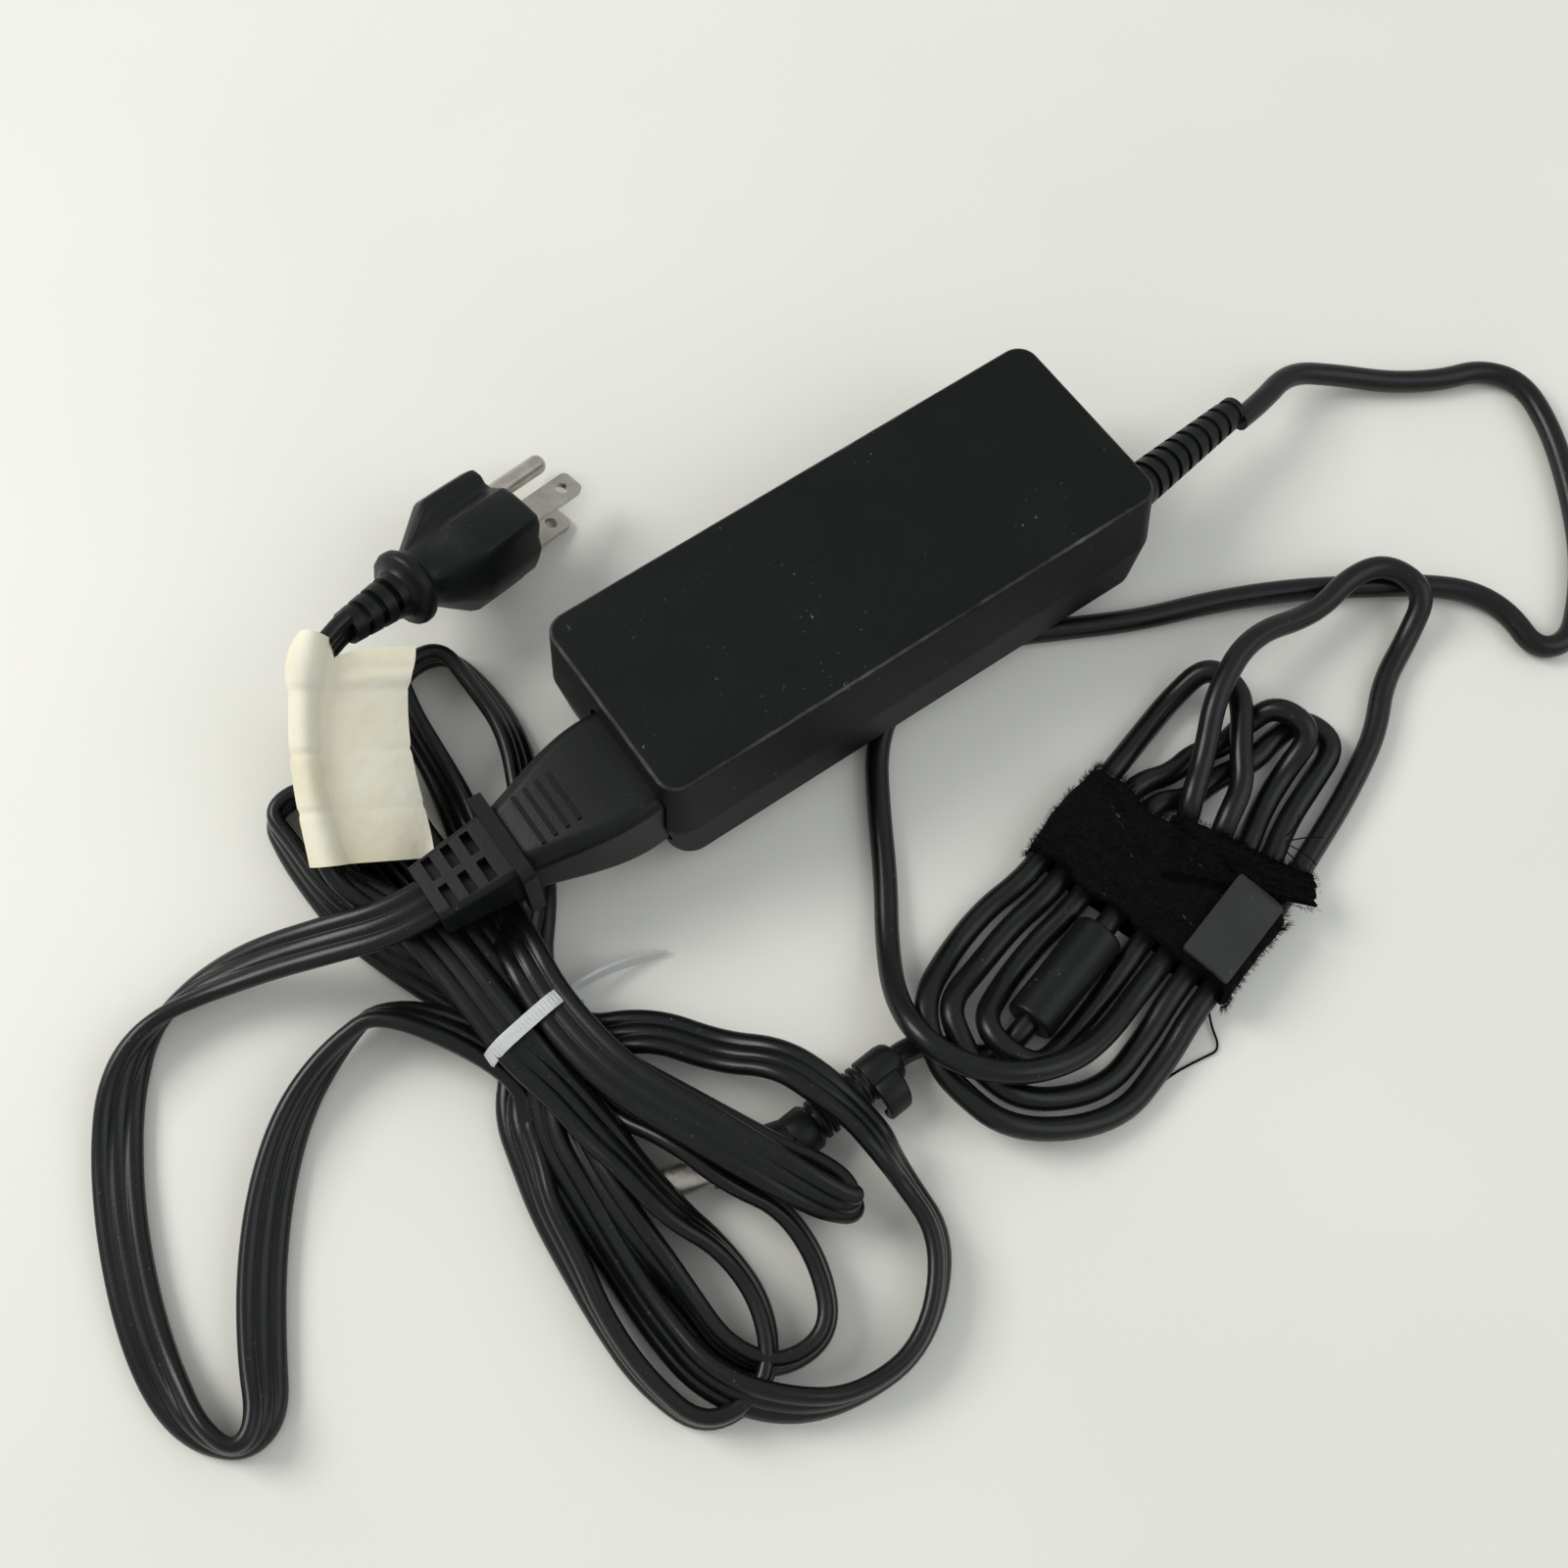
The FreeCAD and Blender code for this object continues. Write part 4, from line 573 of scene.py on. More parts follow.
class Workpiece:
    """One mesh that is modelled with Blender's own tools."""

    def __init__(self, name: str, kind: str, **settings: object) -> None:
        """Add a primitive to start from.

        Args:
            name: The piece's name.
            kind: The primitive, such as cube or circle.
            settings: Its sizes and place.
        """
        bpy.ops.object.select_all(action="DESELECT")
        getattr(bpy.ops.mesh, f"primitive_{kind}_add")(**settings)
        self.piece = bpy.context.active_object
        self.piece.name = name

    def edit(self, mode: str = "FACE") -> None:
        """Go into edit mode with nothing selected.

        Args:
            mode: What is selected there: VERT, EDGE or FACE.
        """
        bpy.ops.object.mode_set(mode="EDIT")
        bpy.ops.mesh.select_mode(type=mode)
        bpy.ops.mesh.select_all(action="DESELECT")

    def pick_faces(self, test: Callable[[Vector, Vector], bool]) -> None:
        """Select faces.

        Args:
            test: Whether a face is taken, from its middle and its normal.
        """
        mesh = bmesh.from_edit_mesh(self.piece.data)
        for face in mesh.faces:
            face.select_set(test(face.calc_center_median(), face.normal))
        bmesh.update_edit_mesh(self.piece.data)

    def pick_edges(self, axis: Axis, least: float = 0.5) -> None:
        """Select the edges that run along an axis.

        Args:
            axis: The axis.
            least: How far their ends stand apart along it, at least.
        """
        mesh = bmesh.from_edit_mesh(self.piece.data)
        for edge in mesh.edges:
            first, last = edge.verts
            edge.select_set(abs(first.co[axis] - last.co[axis]) > least)
        bmesh.update_edit_mesh(self.piece.data)

    def slice(self, axis: Axis, cuts: int) -> None:
        """Cut the piece across an axis at even steps.

        Args:
            axis: The axis.
            cuts: How many cuts.
        """
        self.edit("EDGE")
        self.pick_edges(axis)
        bpy.ops.mesh.subdivide(number_cuts=cuts)
        self.leave()

    def leave(self) -> None:
        """Come back to object mode."""
        bpy.ops.object.mode_set(mode="OBJECT")

    def modify(self, kind: str, **settings: object) -> None:
        """Add a modifier and apply it.

        Args:
            kind: The modifier's type.
            settings: Its settings.
        """
        modifier = self.piece.modifiers.new(kind.lower(), kind)
        for key, value in settings.items():
            setattr(modifier, key, value)
        bpy.context.view_layer.objects.active = self.piece
        bpy.ops.object.modifier_apply(modifier=modifier.name)

    def bevel(self, width: float, segments: int, degrees: float) -> None:
        """Round the edges that are sharper than an angle."""
        self.modify("BEVEL", width=width * MM, segments=segments, limit_method="ANGLE",
                    angle_limit=math.radians(degrees))

    def mould(self, change: Callable[[Vector], Vector]) -> None:
        """Push every vertex to a new place."""
        for vertex in self.piece.data.vertices:
            vertex.co = change(vertex.co)

    def outward(self) -> None:
        """Make every face point outwards."""
        self.edit()
        bpy.ops.mesh.select_all(action="SELECT")
        bpy.ops.mesh.normals_make_consistent(inside=False)
        self.leave()

    def smooth(self, degrees: float) -> bpy.types.Object:
        """Shade smooth across gentle edges.

        Args:
            degrees: The sharpest edge that is smoothed.

        Returns:
            The piece, with its place in its mesh.
        """
        select_only(self.piece)
        bpy.ops.object.transform_apply(location=True, rotation=True, scale=True)
        bpy.ops.object.shade_smooth_by_angle(angle=math.radians(degrees))
        return self.piece


def share_round(place: Vector) -> float:
    """How far round the up axis a place is, from nought to one."""
    return (math.atan2(place.y, place.x) / (2 * math.pi)) % 1.0


def loft(name: str, rings: Sequence[Sequence[Vector]]) -> Workpiece:
    """Closed skin through rings of points, drawn by extruding the first ring's face from ring to ring.

    Args:
        name: The piece's name.
        rings: Rings with as many points each, in order along the piece.

    Returns:
        The workpiece in object mode.
    """
    work = Workpiece(name, "circle", vertices=len(rings[0]), radius=0.01, fill_type="NGON")
    work.edit("VERT")
    bpy.ops.mesh.select_all(action="SELECT")
    order: list[int] = []
    for number, ring in enumerate(rings):
        if number:
            bpy.ops.mesh.extrude_region_move()
        mesh = bmesh.from_edit_mesh(work.piece.data)
        mesh.verts.ensure_lookup_table()
        moving = [vertex for vertex in mesh.verts if vertex.select]
        if not number:
            order = [vertex.index for vertex in moving]
        else:
            origin = {}
            for vertex in moving:
                linked = [edge.other_vert(vertex) for edge in vertex.link_edges]
                origin[vertex] = next(other for other in linked if not other.select)
            earlier = {mesh.verts[index]: place for place, index in enumerate(order)}
            placed = {earlier[base]: vertex for vertex, base in origin.items()}
            moving = [placed[place] for place in range(len(ring))]
            order = [vertex.index for vertex in moving]
        for vertex, place in zip(moving, ring):
            vertex.co = place
        bmesh.update_edit_mesh(work.piece.data)
    work.leave()
    work.outward()
    return work


# Routes


@dataclass(frozen=True)
class Station:
    """A point that a cord passes, the way that it runs there and its roll about that way, in degrees."""

    place: Vector
    way: Vector
    roll: float = 0.0

    def reach(self, other: "Station") -> float:
        """How far the control points stand from this station and the next one along their ways.

        Args:
            other: The next station.

        Returns:
            The one length that lets two arcs join the stations smoothly.
        """
        span = other.place - self.place
        square = 2 * (self.way.dot(other.way) - 1)
        linear = -2 * span.dot(self.way + other.way)
        constant = span.dot(span)
        same_way = 1e-9
        if abs(square) < same_way:
            return -constant / linear
        root = math.sqrt(linear * linear - 4 * square * constant)
        near = (-linear - root) / (2 * square)
        return near if near > 0 else (-linear + root) / (2 * square)


@dataclass(frozen=True)
class Control:
    """A control point of a cord's spline, with its roll in degrees."""

    place: Vector
    roll: float = 0.0


def turns(stations: Sequence[Station]) -> list[Control]:
    """Control points of the loops through stations: two for each leg, along the ways at its two ends.

    Args:
        stations: The stations in order.

    Returns:
        The control points.
    """
    points = []
    for first, last in zip(stations, stations[1:]):
        reach = first.reach(last)
        points.append(Control(first.place + first.way * reach, first.roll))
        points.append(Control(last.place - last.way * reach, last.roll))
    return points


def free(points: Iterable[Sequence[float]]) -> list[Control]:
    """Control points of a stretch that isn't coiled, from rows of x, y, z and perhaps a roll."""
    return [Control(Vector(row[:3]) * MM, row[3] if len(row) > 3 else 0.0) for row in points]


def spline_curve(name: str, controls: Sequence[Control], resolution: int) -> bpy.types.Object:
    """Curve object with one smooth open spline.

    Args:
        name: The object's name.
        controls: Its control points.
        resolution: Steps for each control point.

    Returns:
        The curve, with no thickness yet.
    """
    curve = bpy.data.curves.new(name, "CURVE")
    curve.dimensions = "3D"
    curve.twist_mode = "Z_UP"
    curve.resolution_u = resolution
    spline = curve.splines.new("NURBS")
    spline.points.add(len(controls) - 1)
    for point, control in zip(spline.points, controls):
        point.co = (*control.place, 1.0)
        point.tilt = math.radians(control.roll)
    spline.order_u = 3
    spline.use_endpoint_u = True
    spline.use_smooth = True
    made = bpy.data.objects.new(name, curve)
    bpy.context.scene.collection.objects.link(made)
    return made


def as_mesh(name: str, parts: Sequence[bpy.types.Object]) -> bpy.types.Object:
    """Turn curves into one smooth mesh.

    Args:
        name: The joined piece's name.
        parts: The curves.

    Returns:
        The mesh object.
    """
    select_only(*parts)
    bpy.ops.object.convert(target="MESH")
    if len(parts) > 1:
        bpy.ops.object.join()
    made = bpy.context.view_layer.objects.active
    made.name = name
    bpy.ops.object.shade_smooth()
    return made


def centre_line(curve: bpy.types.Object) -> list[Vector]:
    """Points along a curve that has no thickness.

    Args:
        curve: The curve.

    Returns:
        The points in order.
    """
    line = bpy.data.meshes.new_from_object(curve)
    places = [vertex.co.copy() for vertex in line.vertices]
    bpy.data.meshes.remove(line)
    return places


def path_length(places: Sequence[Vector]) -> float:
    """Length of a line through points."""
    return sum((b - a).length for a, b in zip(places, places[1:]))


def band_outline(share: float, half_a: float, half_z: float, corner: float) -> tuple[float, float]:
    """Point of a band's rounded outline about its middle.

    Args:
        share: Place round it, from nought to one, starting on top at the low side.
        half_a: Half of its flat length across.
        half_z: Half of its flat height.
        corner: Radius of its corners.

    Returns:
        Across and height from the middle.
    """
    arc = math.pi / 2 * corner
    sides = (2 * half_a, arc, 2 * half_z, arc, 2 * half_a, arc, 2 * half_z, arc)
    along = (share % 1.0) * sum(sides)
    corners = ((half_a, half_z), (half_a, -half_z), (-half_a, -half_z), (-half_a, half_z))
    for number, side in enumerate(sides):
        if along <= side:
            break
        along -= side
    quarter = number // 2
    turn = -math.pi / 2 * quarter
    if number % 2:
        angle = math.pi / 2 + turn - along / corner
        base = corners[quarter]
        return base[0] + corner * math.cos(angle), base[1] + corner * math.sin(angle)
    start = corners[quarter - 1]
    way = (math.cos(turn), math.sin(turn))
    return start[0] + way[0] * along - way[1] * corner, start[1] + way[1] * along + way[0] * corner


def finish(piece: bpy.types.Object, body: Body, slot: str, material: bpy.types.Material,
           replaced: Sequence[str] = ()) -> bpy.types.Object:
    """Dress a piece, put it on its body and let it stand for model nodes.

    Args:
        piece: The finished object.
        body: The body that it moves with.
        slot: The record's material slot; not used.
        material: Its material.
        replaced: Nodes that it stands for.

    Returns:
        The same piece.
    """
    piece.data.materials.clear()
    piece.data.materials.append(material)
    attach(piece, body.value)
    if replaced:
        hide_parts(*replaced)
    LOG.info("%s on %s", piece.name, body.value)
    return piece


# Low-voltage lead


@dataclass
class LowVoltageLead:
    """Round cord from the brick through its run, hank and ferrite sleeve to the barrel plug.

    Its passes go under the strap in eight lanes, each pair outward to the hank's long side and back.
    """

    diameter: float = 5.5 * MM
    floor: float = 2.85
    second: float = 8.95
    third: float = 15.35
    lying_height: float = 2.9
    waist_height: float = 4.7
    waist_half: float = 13.0
    pitch: float = 6.2
    ferrite_lane: int = 3
    ferrite_gap: float = 8.5
    ferrite_across: float = -1.9
    ferrite_height: float = 6.3
    ferrite_end: float = -45.5
    lead_in: float = 10.0
    hank_turn: float = 16.0
    hank_middle: tuple[float, float] = (21.0, -90.0)
    passes: tuple[tuple[int, int], ...] = ((5, 1), (6, 2), (4, 0), (7, 3))

    def place(self, along: float, across: float, height: float) -> Vector:
        """Point of the hank.

        Args:
            along: Place along the hank's length axis, from the strap's middle.
            across: Place across it.
            height: Height above the table.

        Returns:
            The point in metres.
        """
        turn = math.radians(self.hank_turn)
        x = self.hank_middle[0] + along * math.cos(turn) + across * math.sin(turn)
        y = self.hank_middle[1] + along * math.sin(turn) - across * math.cos(turn)
        return Vector((x, y, height)) * MM

    def station(self, along: float, across: float, height: float, heading: float) -> Station:
        """Station of the hank.

        Args:
            along: Place along the hank's length axis.
            across: Place across it.
            height: Height above the table.
            heading: The cord's heading from the length axis, in degrees.

        Returns:
            The station.
        """
        ahead = math.radians(heading)
        way = self.place(math.cos(ahead), math.sin(ahead), 0) - self.place(0, 0, 0)
        return Station(self.place(along, across, height), way.normalized())

    def lane(self, number: int) -> float:
        """Place across the strap of one of its lanes; the ferrite sleeve's lane is wider than the others.

        Args:
            number: The lane, from nought.

        Returns:
            The place across.
        """
        steps = number - self.ferrite_lane
        if not steps:
            return self.ferrite_across
        return self.ferrite_across + math.copysign(self.ferrite_gap + self.pitch * (abs(steps) - 1), steps)

    def straight(self, number: int, outward: bool) -> list[Station]:
        """The two ends of a straight pass under the strap.

        Args:
            number: The lane.
            outward: Whether the cord runs towards the hank's long side.

        Returns:
            The two stations.
        """
        heading = 0.0 if outward else 180.0
        height = self.ferrite_height if number == self.ferrite_lane else self.waist_height
        ends = (-self.waist_half, self.waist_half) if outward else (self.waist_half, -self.waist_half)
        return [self.station(end, self.lane(number), height, heading) for end in ends]

    def hank(self) -> list[Station]:
        """Stations of the hank: four loops on the long side with three on the short side between them.

        Returns:
            The stations in order.
        """
        low, mid, high = self.floor, self.second, self.third
        long_loops = (
            ((38, 8.8, low, -6), (53.5, 2.0, mid, -90), (42, -6.4, low, 185), (30, -11.2, low, 188)),
            ((40, 15.2, low, -4), (57.5, 7.9, low, -90), (45, 1.3, low, 184), (27, -4.2, low, 191)),
            ((27, 3.5, mid, -12), (43, -6, mid + 0.3, -32), (50.5, -15.5, mid, -90), (35, -23, low, 180)),
            ((38, 23.6, low, -5), (60, 20.4, low, -12), (84, 12.5, low, -8), (101, 2, mid + 0.1, -90),
             (88, -8.5, mid, 184), (50, -16.4, high, 172), (24, -6.0, mid + 1.6, 160)))
        short_loops = (
            ((-33, -18.3, low, 180), (-57.0, -12.0, mid + 0.4, 120), (-60.0, -3.0, mid + 0.4, 90),
             (-34, 20.3, low, 0)),
            ((-32, -11.6, low, 180), (-53.0, -2.0, mid + 1.7, 90), (-32, 7.4, low, 0)),
            ((-34, -25.3, low, 180), (-61.5, -16.5, mid + 0.7, 128), (-66.5, -3.0, mid + 0.7, 90),
             (-35, 26.8, low, 0)),
            ())
        stations: list[Station] = []
        for (lane_out, lane_back), long_loop, short_loop in zip(self.passes, long_loops, short_loops):
            stations += self.straight(lane_out, True) + [self.station(*row) for row in long_loop]
            stations += self.straight(lane_back, False) + [self.station(*row) for row in short_loop]
        return stations

    def run(self) -> list[Control]:
        """The free stretch from the strain relief, round the far end and under the brick, to the hank.

        Returns:
            Its control points.
        """
        leaving = ((106.9, -10.8, 14.8), (115.4, -9.6, 13.2), (129, -5.5, 9.5), (141, -11.5, 5.8),
                   (153, -20, 3.4))
        lying = ((165, -26.5), (175.5, -29.5), (182.5, -38), (180, -52), (173, -67), (164, -81.5),
                 (154.5, -91.5), (145, -98.5), (136.5, -95.5), (137.5, -84.5), (133.5, -75), (124, -67),
                 (110, -58.5), (95, -50.0), (78, -42.6), (61, -37.0), (46, -30.0), (30, -22.0), (13, -19.3),
                 (-2, -21), (-12, -28.5), (-20, -41), (-28, -55))
        rising = ((-37, -68, 3.6), (-44, -79.5, 9.6), (-46, -90.5, 15.9), (-41.5, -101, 16.0),
                  (-32.5, -109, 15.4), (-21, -112.8, 13.0), (-10, -112.2, 9.0))
        return free([*leaving, *((x, y, self.lying_height) for x, y in lying), *rising])

    def tail(self) -> list[Control]:
        """The free stretch from the ferrite sleeve, under the short loops, to the plug's relief."""
        return free(((-28.5, -101.9, 4.9), (-33.5, -101.2, 2.9), (-38.5, -96.5, 2.9), (-42.0, -91.5, 3.6),
                     (-48.0, -89.9, 5.6), (-52.0, -90.2, 5.6)))

    def build_cord(self, material: bpy.types.Material,
                   pieces: Sequence[bpy.types.Object]) -> bpy.types.Object:
        """Model the whole cord as one smooth round line.

        Args:
            material: The jacket.
            pieces: The new pieces on the lead; not used.

        Returns:
            The cord.
        """
        stations = self.hank()
        start = stations[0]
        lead_in = Control(start.place - start.way * self.lead_in * MM)
        sleeve_end = Control(self.place(self.ferrite_end, self.ferrite_across, self.ferrite_height))
        controls = self.run() + [lead_in] + turns(stations) + [sleeve_end] + self.tail()
        cord = spline_curve("low_voltage_cord", controls, CORD_STEPS)
        length = path_length(centre_line(cord))
        cord.data.bevel_depth = self.diameter / 2
        cord.data.bevel_resolution = 5
        cord.data.use_fill_caps = True
        finish(cord, Body.BRICK, "cord_jacket", material, ("dc_cord_run", "dc_cord_hank", "dc_cord_tail"))
        tuple(controls[0].place)
        LOG.info("low-voltage cord %.3f m long", length)
        return cord


# Strap on the low-voltage hank


@dataclass
class LoopStrap:
    """Fleece loop strap round the hank, with its loose frayed end, its smooth tab and a pulled thread."""

    lead: LowVoltageLead
    width: float = 24.0
    low_across: float = -26.6
    high_across: float = 29.0
    low_height: float = 0.35
    high_height: float = 11.4
    corner: float = 4.2
    thickness: float = 1.3
    flat_below: float = 2.5
    lowest: float = 0.25
    wave_depth: float = 0.7
    ripple_depth: float = 0.35
    band_faces: tuple[int, int] = (120, 10)
    loose_width: float = 15.0
    loose_start: tuple[float, float, float] = (8.0, -3.0, 11.0)
    loose_span: tuple[float, float] = (13.5, 33.0)
    loose_narrowing: float = 0.35
    loose_faces: tuple[int, int] = (22, 8)
    tab_size: tuple[float, float, float] = (22.5, 12.5, 1.3)
    tab_middle: tuple[float, float, float] = (0.6, 20.2, 13.9)
    tab_shoulder: float = 21.5
    tab_bend: float = 0.055
    band_fibres: int = 6500
    loose_fibres: int = 1800
    fibre_radius: float = 0.085
    bare_below: float = 3.5
    tangle: float = 0.75
    rim_lean: float = 1.3
    pulled_thread: float = 0.28
    frayed_thread: float = 0.16
    thread_steps: int = 10
    seed: int = 7

    def outline(self, share: float) -> tuple[float, float]:
        """Point of the band's outer outline, as across and height.

        Args:
            share: Place round the band, from nought to one, starting on top at the side of the short lanes.

        Returns:
            Across and height in millimetres.
        """
        half_a = (self.high_across - self.low_across) / 2 - self.corner
        half_z = (self.high_height - self.low_height) / 2 - self.corner
        across, height = band_outline(share, half_a, half_z, self.corner)
        middle_a = (self.high_across + self.low_across) / 2
        middle_z = (self.high_height + self.low_height) / 2
        return middle_a + across, middle_z + height

    def point(self, share: float, depth: float, lift: float = 0.0) -> Vector:
        """Point on the band.

        Args:
            share: Place round it, from nought to one.
            depth: Place along the hank, from the band's middle.
            lift: Height above the skin.

        Returns:
            The point in metres.
        """
        across, height = self.outline(share)
        ahead = self.outline(share + 0.004)
        way = Vector((ahead[0] - across, ahead[1] - height)).normalized()
        waves = self.wave_depth * math.sin(9.0 * share * math.pi) * math.cos(depth * 0.21)
        ripples = self.ripple_depth * math.sin(31.0 * share + depth)
        rise = lift + (waves + ripples if height >= self.flat_below else 0.0)
        edge = 0.6 * math.sin(17.0 * share * math.pi) + 0.35 * math.sin(41.0 * share)
        spread = depth * (1.0 + 0.04 * math.cos(share * 2 * math.pi)) + edge
        return self.lead.place(spread, across - way[1] * rise, max(self.lowest, height + way[0] * rise))

    def loose_point(self, share: float, depth: float, lift: float) -> Vector:
        """Point on the loose end, which leaves the band under the tab and ends frayed beyond the last lane.

        Args:
            share: Place along it, from nought to one.
            depth: Place across it, from its middle.
            lift: Height above the skin.

        Returns:
            The point in metres.
        """
        start, span = self.loose_start, self.loose_span
        narrow = depth * (1.0 - self.loose_narrowing * share)
        fray = 1.2 * math.sin(depth * 2.1) * share
        along = start[0] + span[0] * share + narrow * (0.86 - 0.2 * share)
        across = start[1] + span[1] * share - narrow * 0.45 + fray
        ripples = 1.1 * math.sin(share * 6.0) + self.wave_depth * math.sin(depth * 0.8)
        height = start[2] + ripples - share * share + lift
        return self.lead.place(along, across, height)

    def cloth(self, name: str, steps: int, rows: int, place: Callable[[float, float, float], Vector],
              width: float, closed: bool) -> bpy.types.Object:
        """Soft strip of cloth with rounded edges.

        Args:
            name: The piece's name.
            steps: Faces along the strip.
            rows: Faces across it.
            place: The skin's point from its place along the strip, its place across it and its lift.
            width: The strip's width in millimetres.
            closed: Whether its ends meet.

        Returns:
            The strip.
        """
        if closed:
            work = Workpiece(name, "cylinder", vertices=steps, radius=1.0, depth=2.0, end_fill_type="NOTHING")
            work.slice(Axis.Z, rows - 1)
            work.mould(lambda v: place(share_round(v), v.z * width / 2, 0.0))
        else:
            work = Workpiece(name, "grid", x_subdivisions=steps, y_subdivisions=rows, size=2.0)
            work.mould(lambda v: place((v.x + 1) / 2, v.y * width / 2, 0.0))
        work.outward()
        work.modify("SOLIDIFY", thickness=self.thickness * MM, offset=-1.0)
        work.modify("SUBSURF", levels=1, render_levels=1)
        return work.smooth(60.0)

    def fibres(self, material: bpy.types.Material) -> bpy.types.Object:
        """Short fibres that stand off the fleece, longer along its rims.

        Args:
            material: The fleece.

        Returns:
            The fibres as one piece.
        """
        chance = random.Random(self.seed)
        work = Workpiece("fleece_fibres", "cone", vertices=3, radius1=self.fibre_radius * MM, radius2=0.0,
                         depth=1.0 * MM)
        mesh = bmesh.new()
        pattern = [vertex.co.copy() for vertex in work.piece.data.vertices]
        faces = [tuple(face.vertices) for face in work.piece.data.polygons]
        strips = ((self.point, self.width, self.band_fibres),
                  (self.loose_point, self.loose_width, self.loose_fibres))
        for place, width, count in strips:
            for _ in range(count):
                share = chance.random()
                depth = math.sin((chance.random() - 0.5) * math.pi) * width * 0.51
                base = place(share, depth, -0.1)
                out = (place(share, depth, 1.0) - base).normalized()
                if base.z < self.bare_below * MM:
                    continue
                side = Vector((chance.uniform(-1, 1), chance.uniform(-1, 1), chance.uniform(-0.4, 0.6)))
                rim = 1.0 if abs(depth) > width * 0.44 else 0.0
                edge_way = (place(share, depth + math.copysign(1.0, depth), 0.0) - base).normalized()
                way = (out + side * self.tangle + edge_way * rim * self.rim_lean).normalized()
                turn = way.to_track_quat("Z", "Y").to_matrix()
                length = chance.uniform(0.9, 1.8) + rim * chance.uniform(0.0, 1.1)
                corners = [mesh.verts.new(base + turn @ Vector((v.x, v.y, (v.z / MM + 0.5) * length * MM)))
                           for v in pattern]
                for face in faces:
                    mesh.faces.new([corners[index] for index in face])
        mesh.to_mesh(work.piece.data)
        mesh.free()
        return finish(work.smooth(180.0), Body.BRICK, "strap_fleece", material)

    def tab(self, material: bpy.types.Material) -> bpy.types.Object:
        """Smooth moulded tab that closes the strap, bent a little over the band's shoulder.

        Args:
            material: The tab's plastic.

        Returns:
            The tab.
        """
        work = Workpiece("closing_tab", "cube", size=1.0)
        work.edit("EDGE")
        work.pick_edges(Axis.Z)
        bpy.ops.mesh.bevel(offset=0.05, segments=4)
        bpy.ops.mesh.select_all(action="SELECT")
        bpy.ops.mesh.subdivide(number_cuts=5)
        work.leave()
        length, width, thick = self.tab_size
        middle = self.tab_middle

        def bend(v: Vector) -> Vector:
            """Place of a point of the tab.

            Args:
                v: Its place in a unit cube.

            Returns:
                The point in metres.
            """
            across = middle[1] + v.y * width
            drop = self.tab_bend * max(0.0, across - self.tab_shoulder) ** 2
            return self.lead.place(v.x * length + middle[0], across, middle[2] + v.z * thick - drop)

        work.mould(bend)
        work.outward()
        work.bevel(0.25, 2, 50.0)
        return finish(work.smooth(35.0), Body.BRICK, "tab_plastic", material, ("strap_tab",))

    def threads(self, material: bpy.types.Material) -> bpy.types.Object:
        """Pulled thread on the table and the frayed ends.

        Args:
            material: The fleece.

        Returns:
            The threads as one piece.
        """
        routes = [((17.2, -112.5, 5.0), (16.5, -118.5, 1.6), (14.0, -123.0, 0.7), (12.3, -128.9, 0.6),
                   (8.0, -128.2, 0.6), (0.6, -127.2, 0.7), (-5.0, -127.4, 0.6), (-10.6, -129.4, 0.5)),
                  ((50.0, -100.0, 12.6), (55.0, -101.5, 12.8), (58.5, -104.0, 11.8)),
                  ((50.0, -100.4, 12.2), (53.0, -104.0, 11.6), (53.6, -108.0, 10.4)),
                  ((49.0, -101.6, 12.0), (50.6, -105.0, 10.8), (49.6, -107.6, 9.9)),
                  ((51.0, -99.0, 12.8), (55.0, -98.6, 13.8), (56.0, -96.8, 14.2)),
                  ((26.4, -69.8, 11.0), (24.8, -67.4, 11.8), (25.4, -65.8, 12.0))]
        made = []
        for number, route in enumerate(routes):
            curve = spline_curve(f"thread_{number}", free(route), self.thread_steps)
            curve.data.bevel_depth = (self.frayed_thread if number else self.pulled_thread) * MM
            curve.data.bevel_resolution = 2
            made.append(curve)
        return finish(as_mesh("pulled_threads", made), Body.BRICK, "strap_fleece", material)

    def build(self, materials: dict[str, bpy.types.Material]) -> list[bpy.types.Object]:
        """Model the strap and all that is on it.

        Args:
            materials: The materials by slot.

        Returns:
            The strap's pieces.
        """
        band = self.cloth("fleece_strap", *self.band_faces, self.point, self.width, True)
        finish(band, Body.BRICK, "strap_fleece", materials["strap_fleece"], ("cable_strap",))
        loose = self.cloth("strap_loose_end", *self.loose_faces, self.loose_point, self.loose_width, False)
        finish(loose, Body.BRICK, "strap_fleece", materials["strap_fleece"])
        fibres = self.fibres(materials["strap_fleece"])
        tab = self.tab(materials["tab_plastic"])
        threads = self.threads(materials["strap_fleece"])
        return [band, loose, fibres, tab, threads]


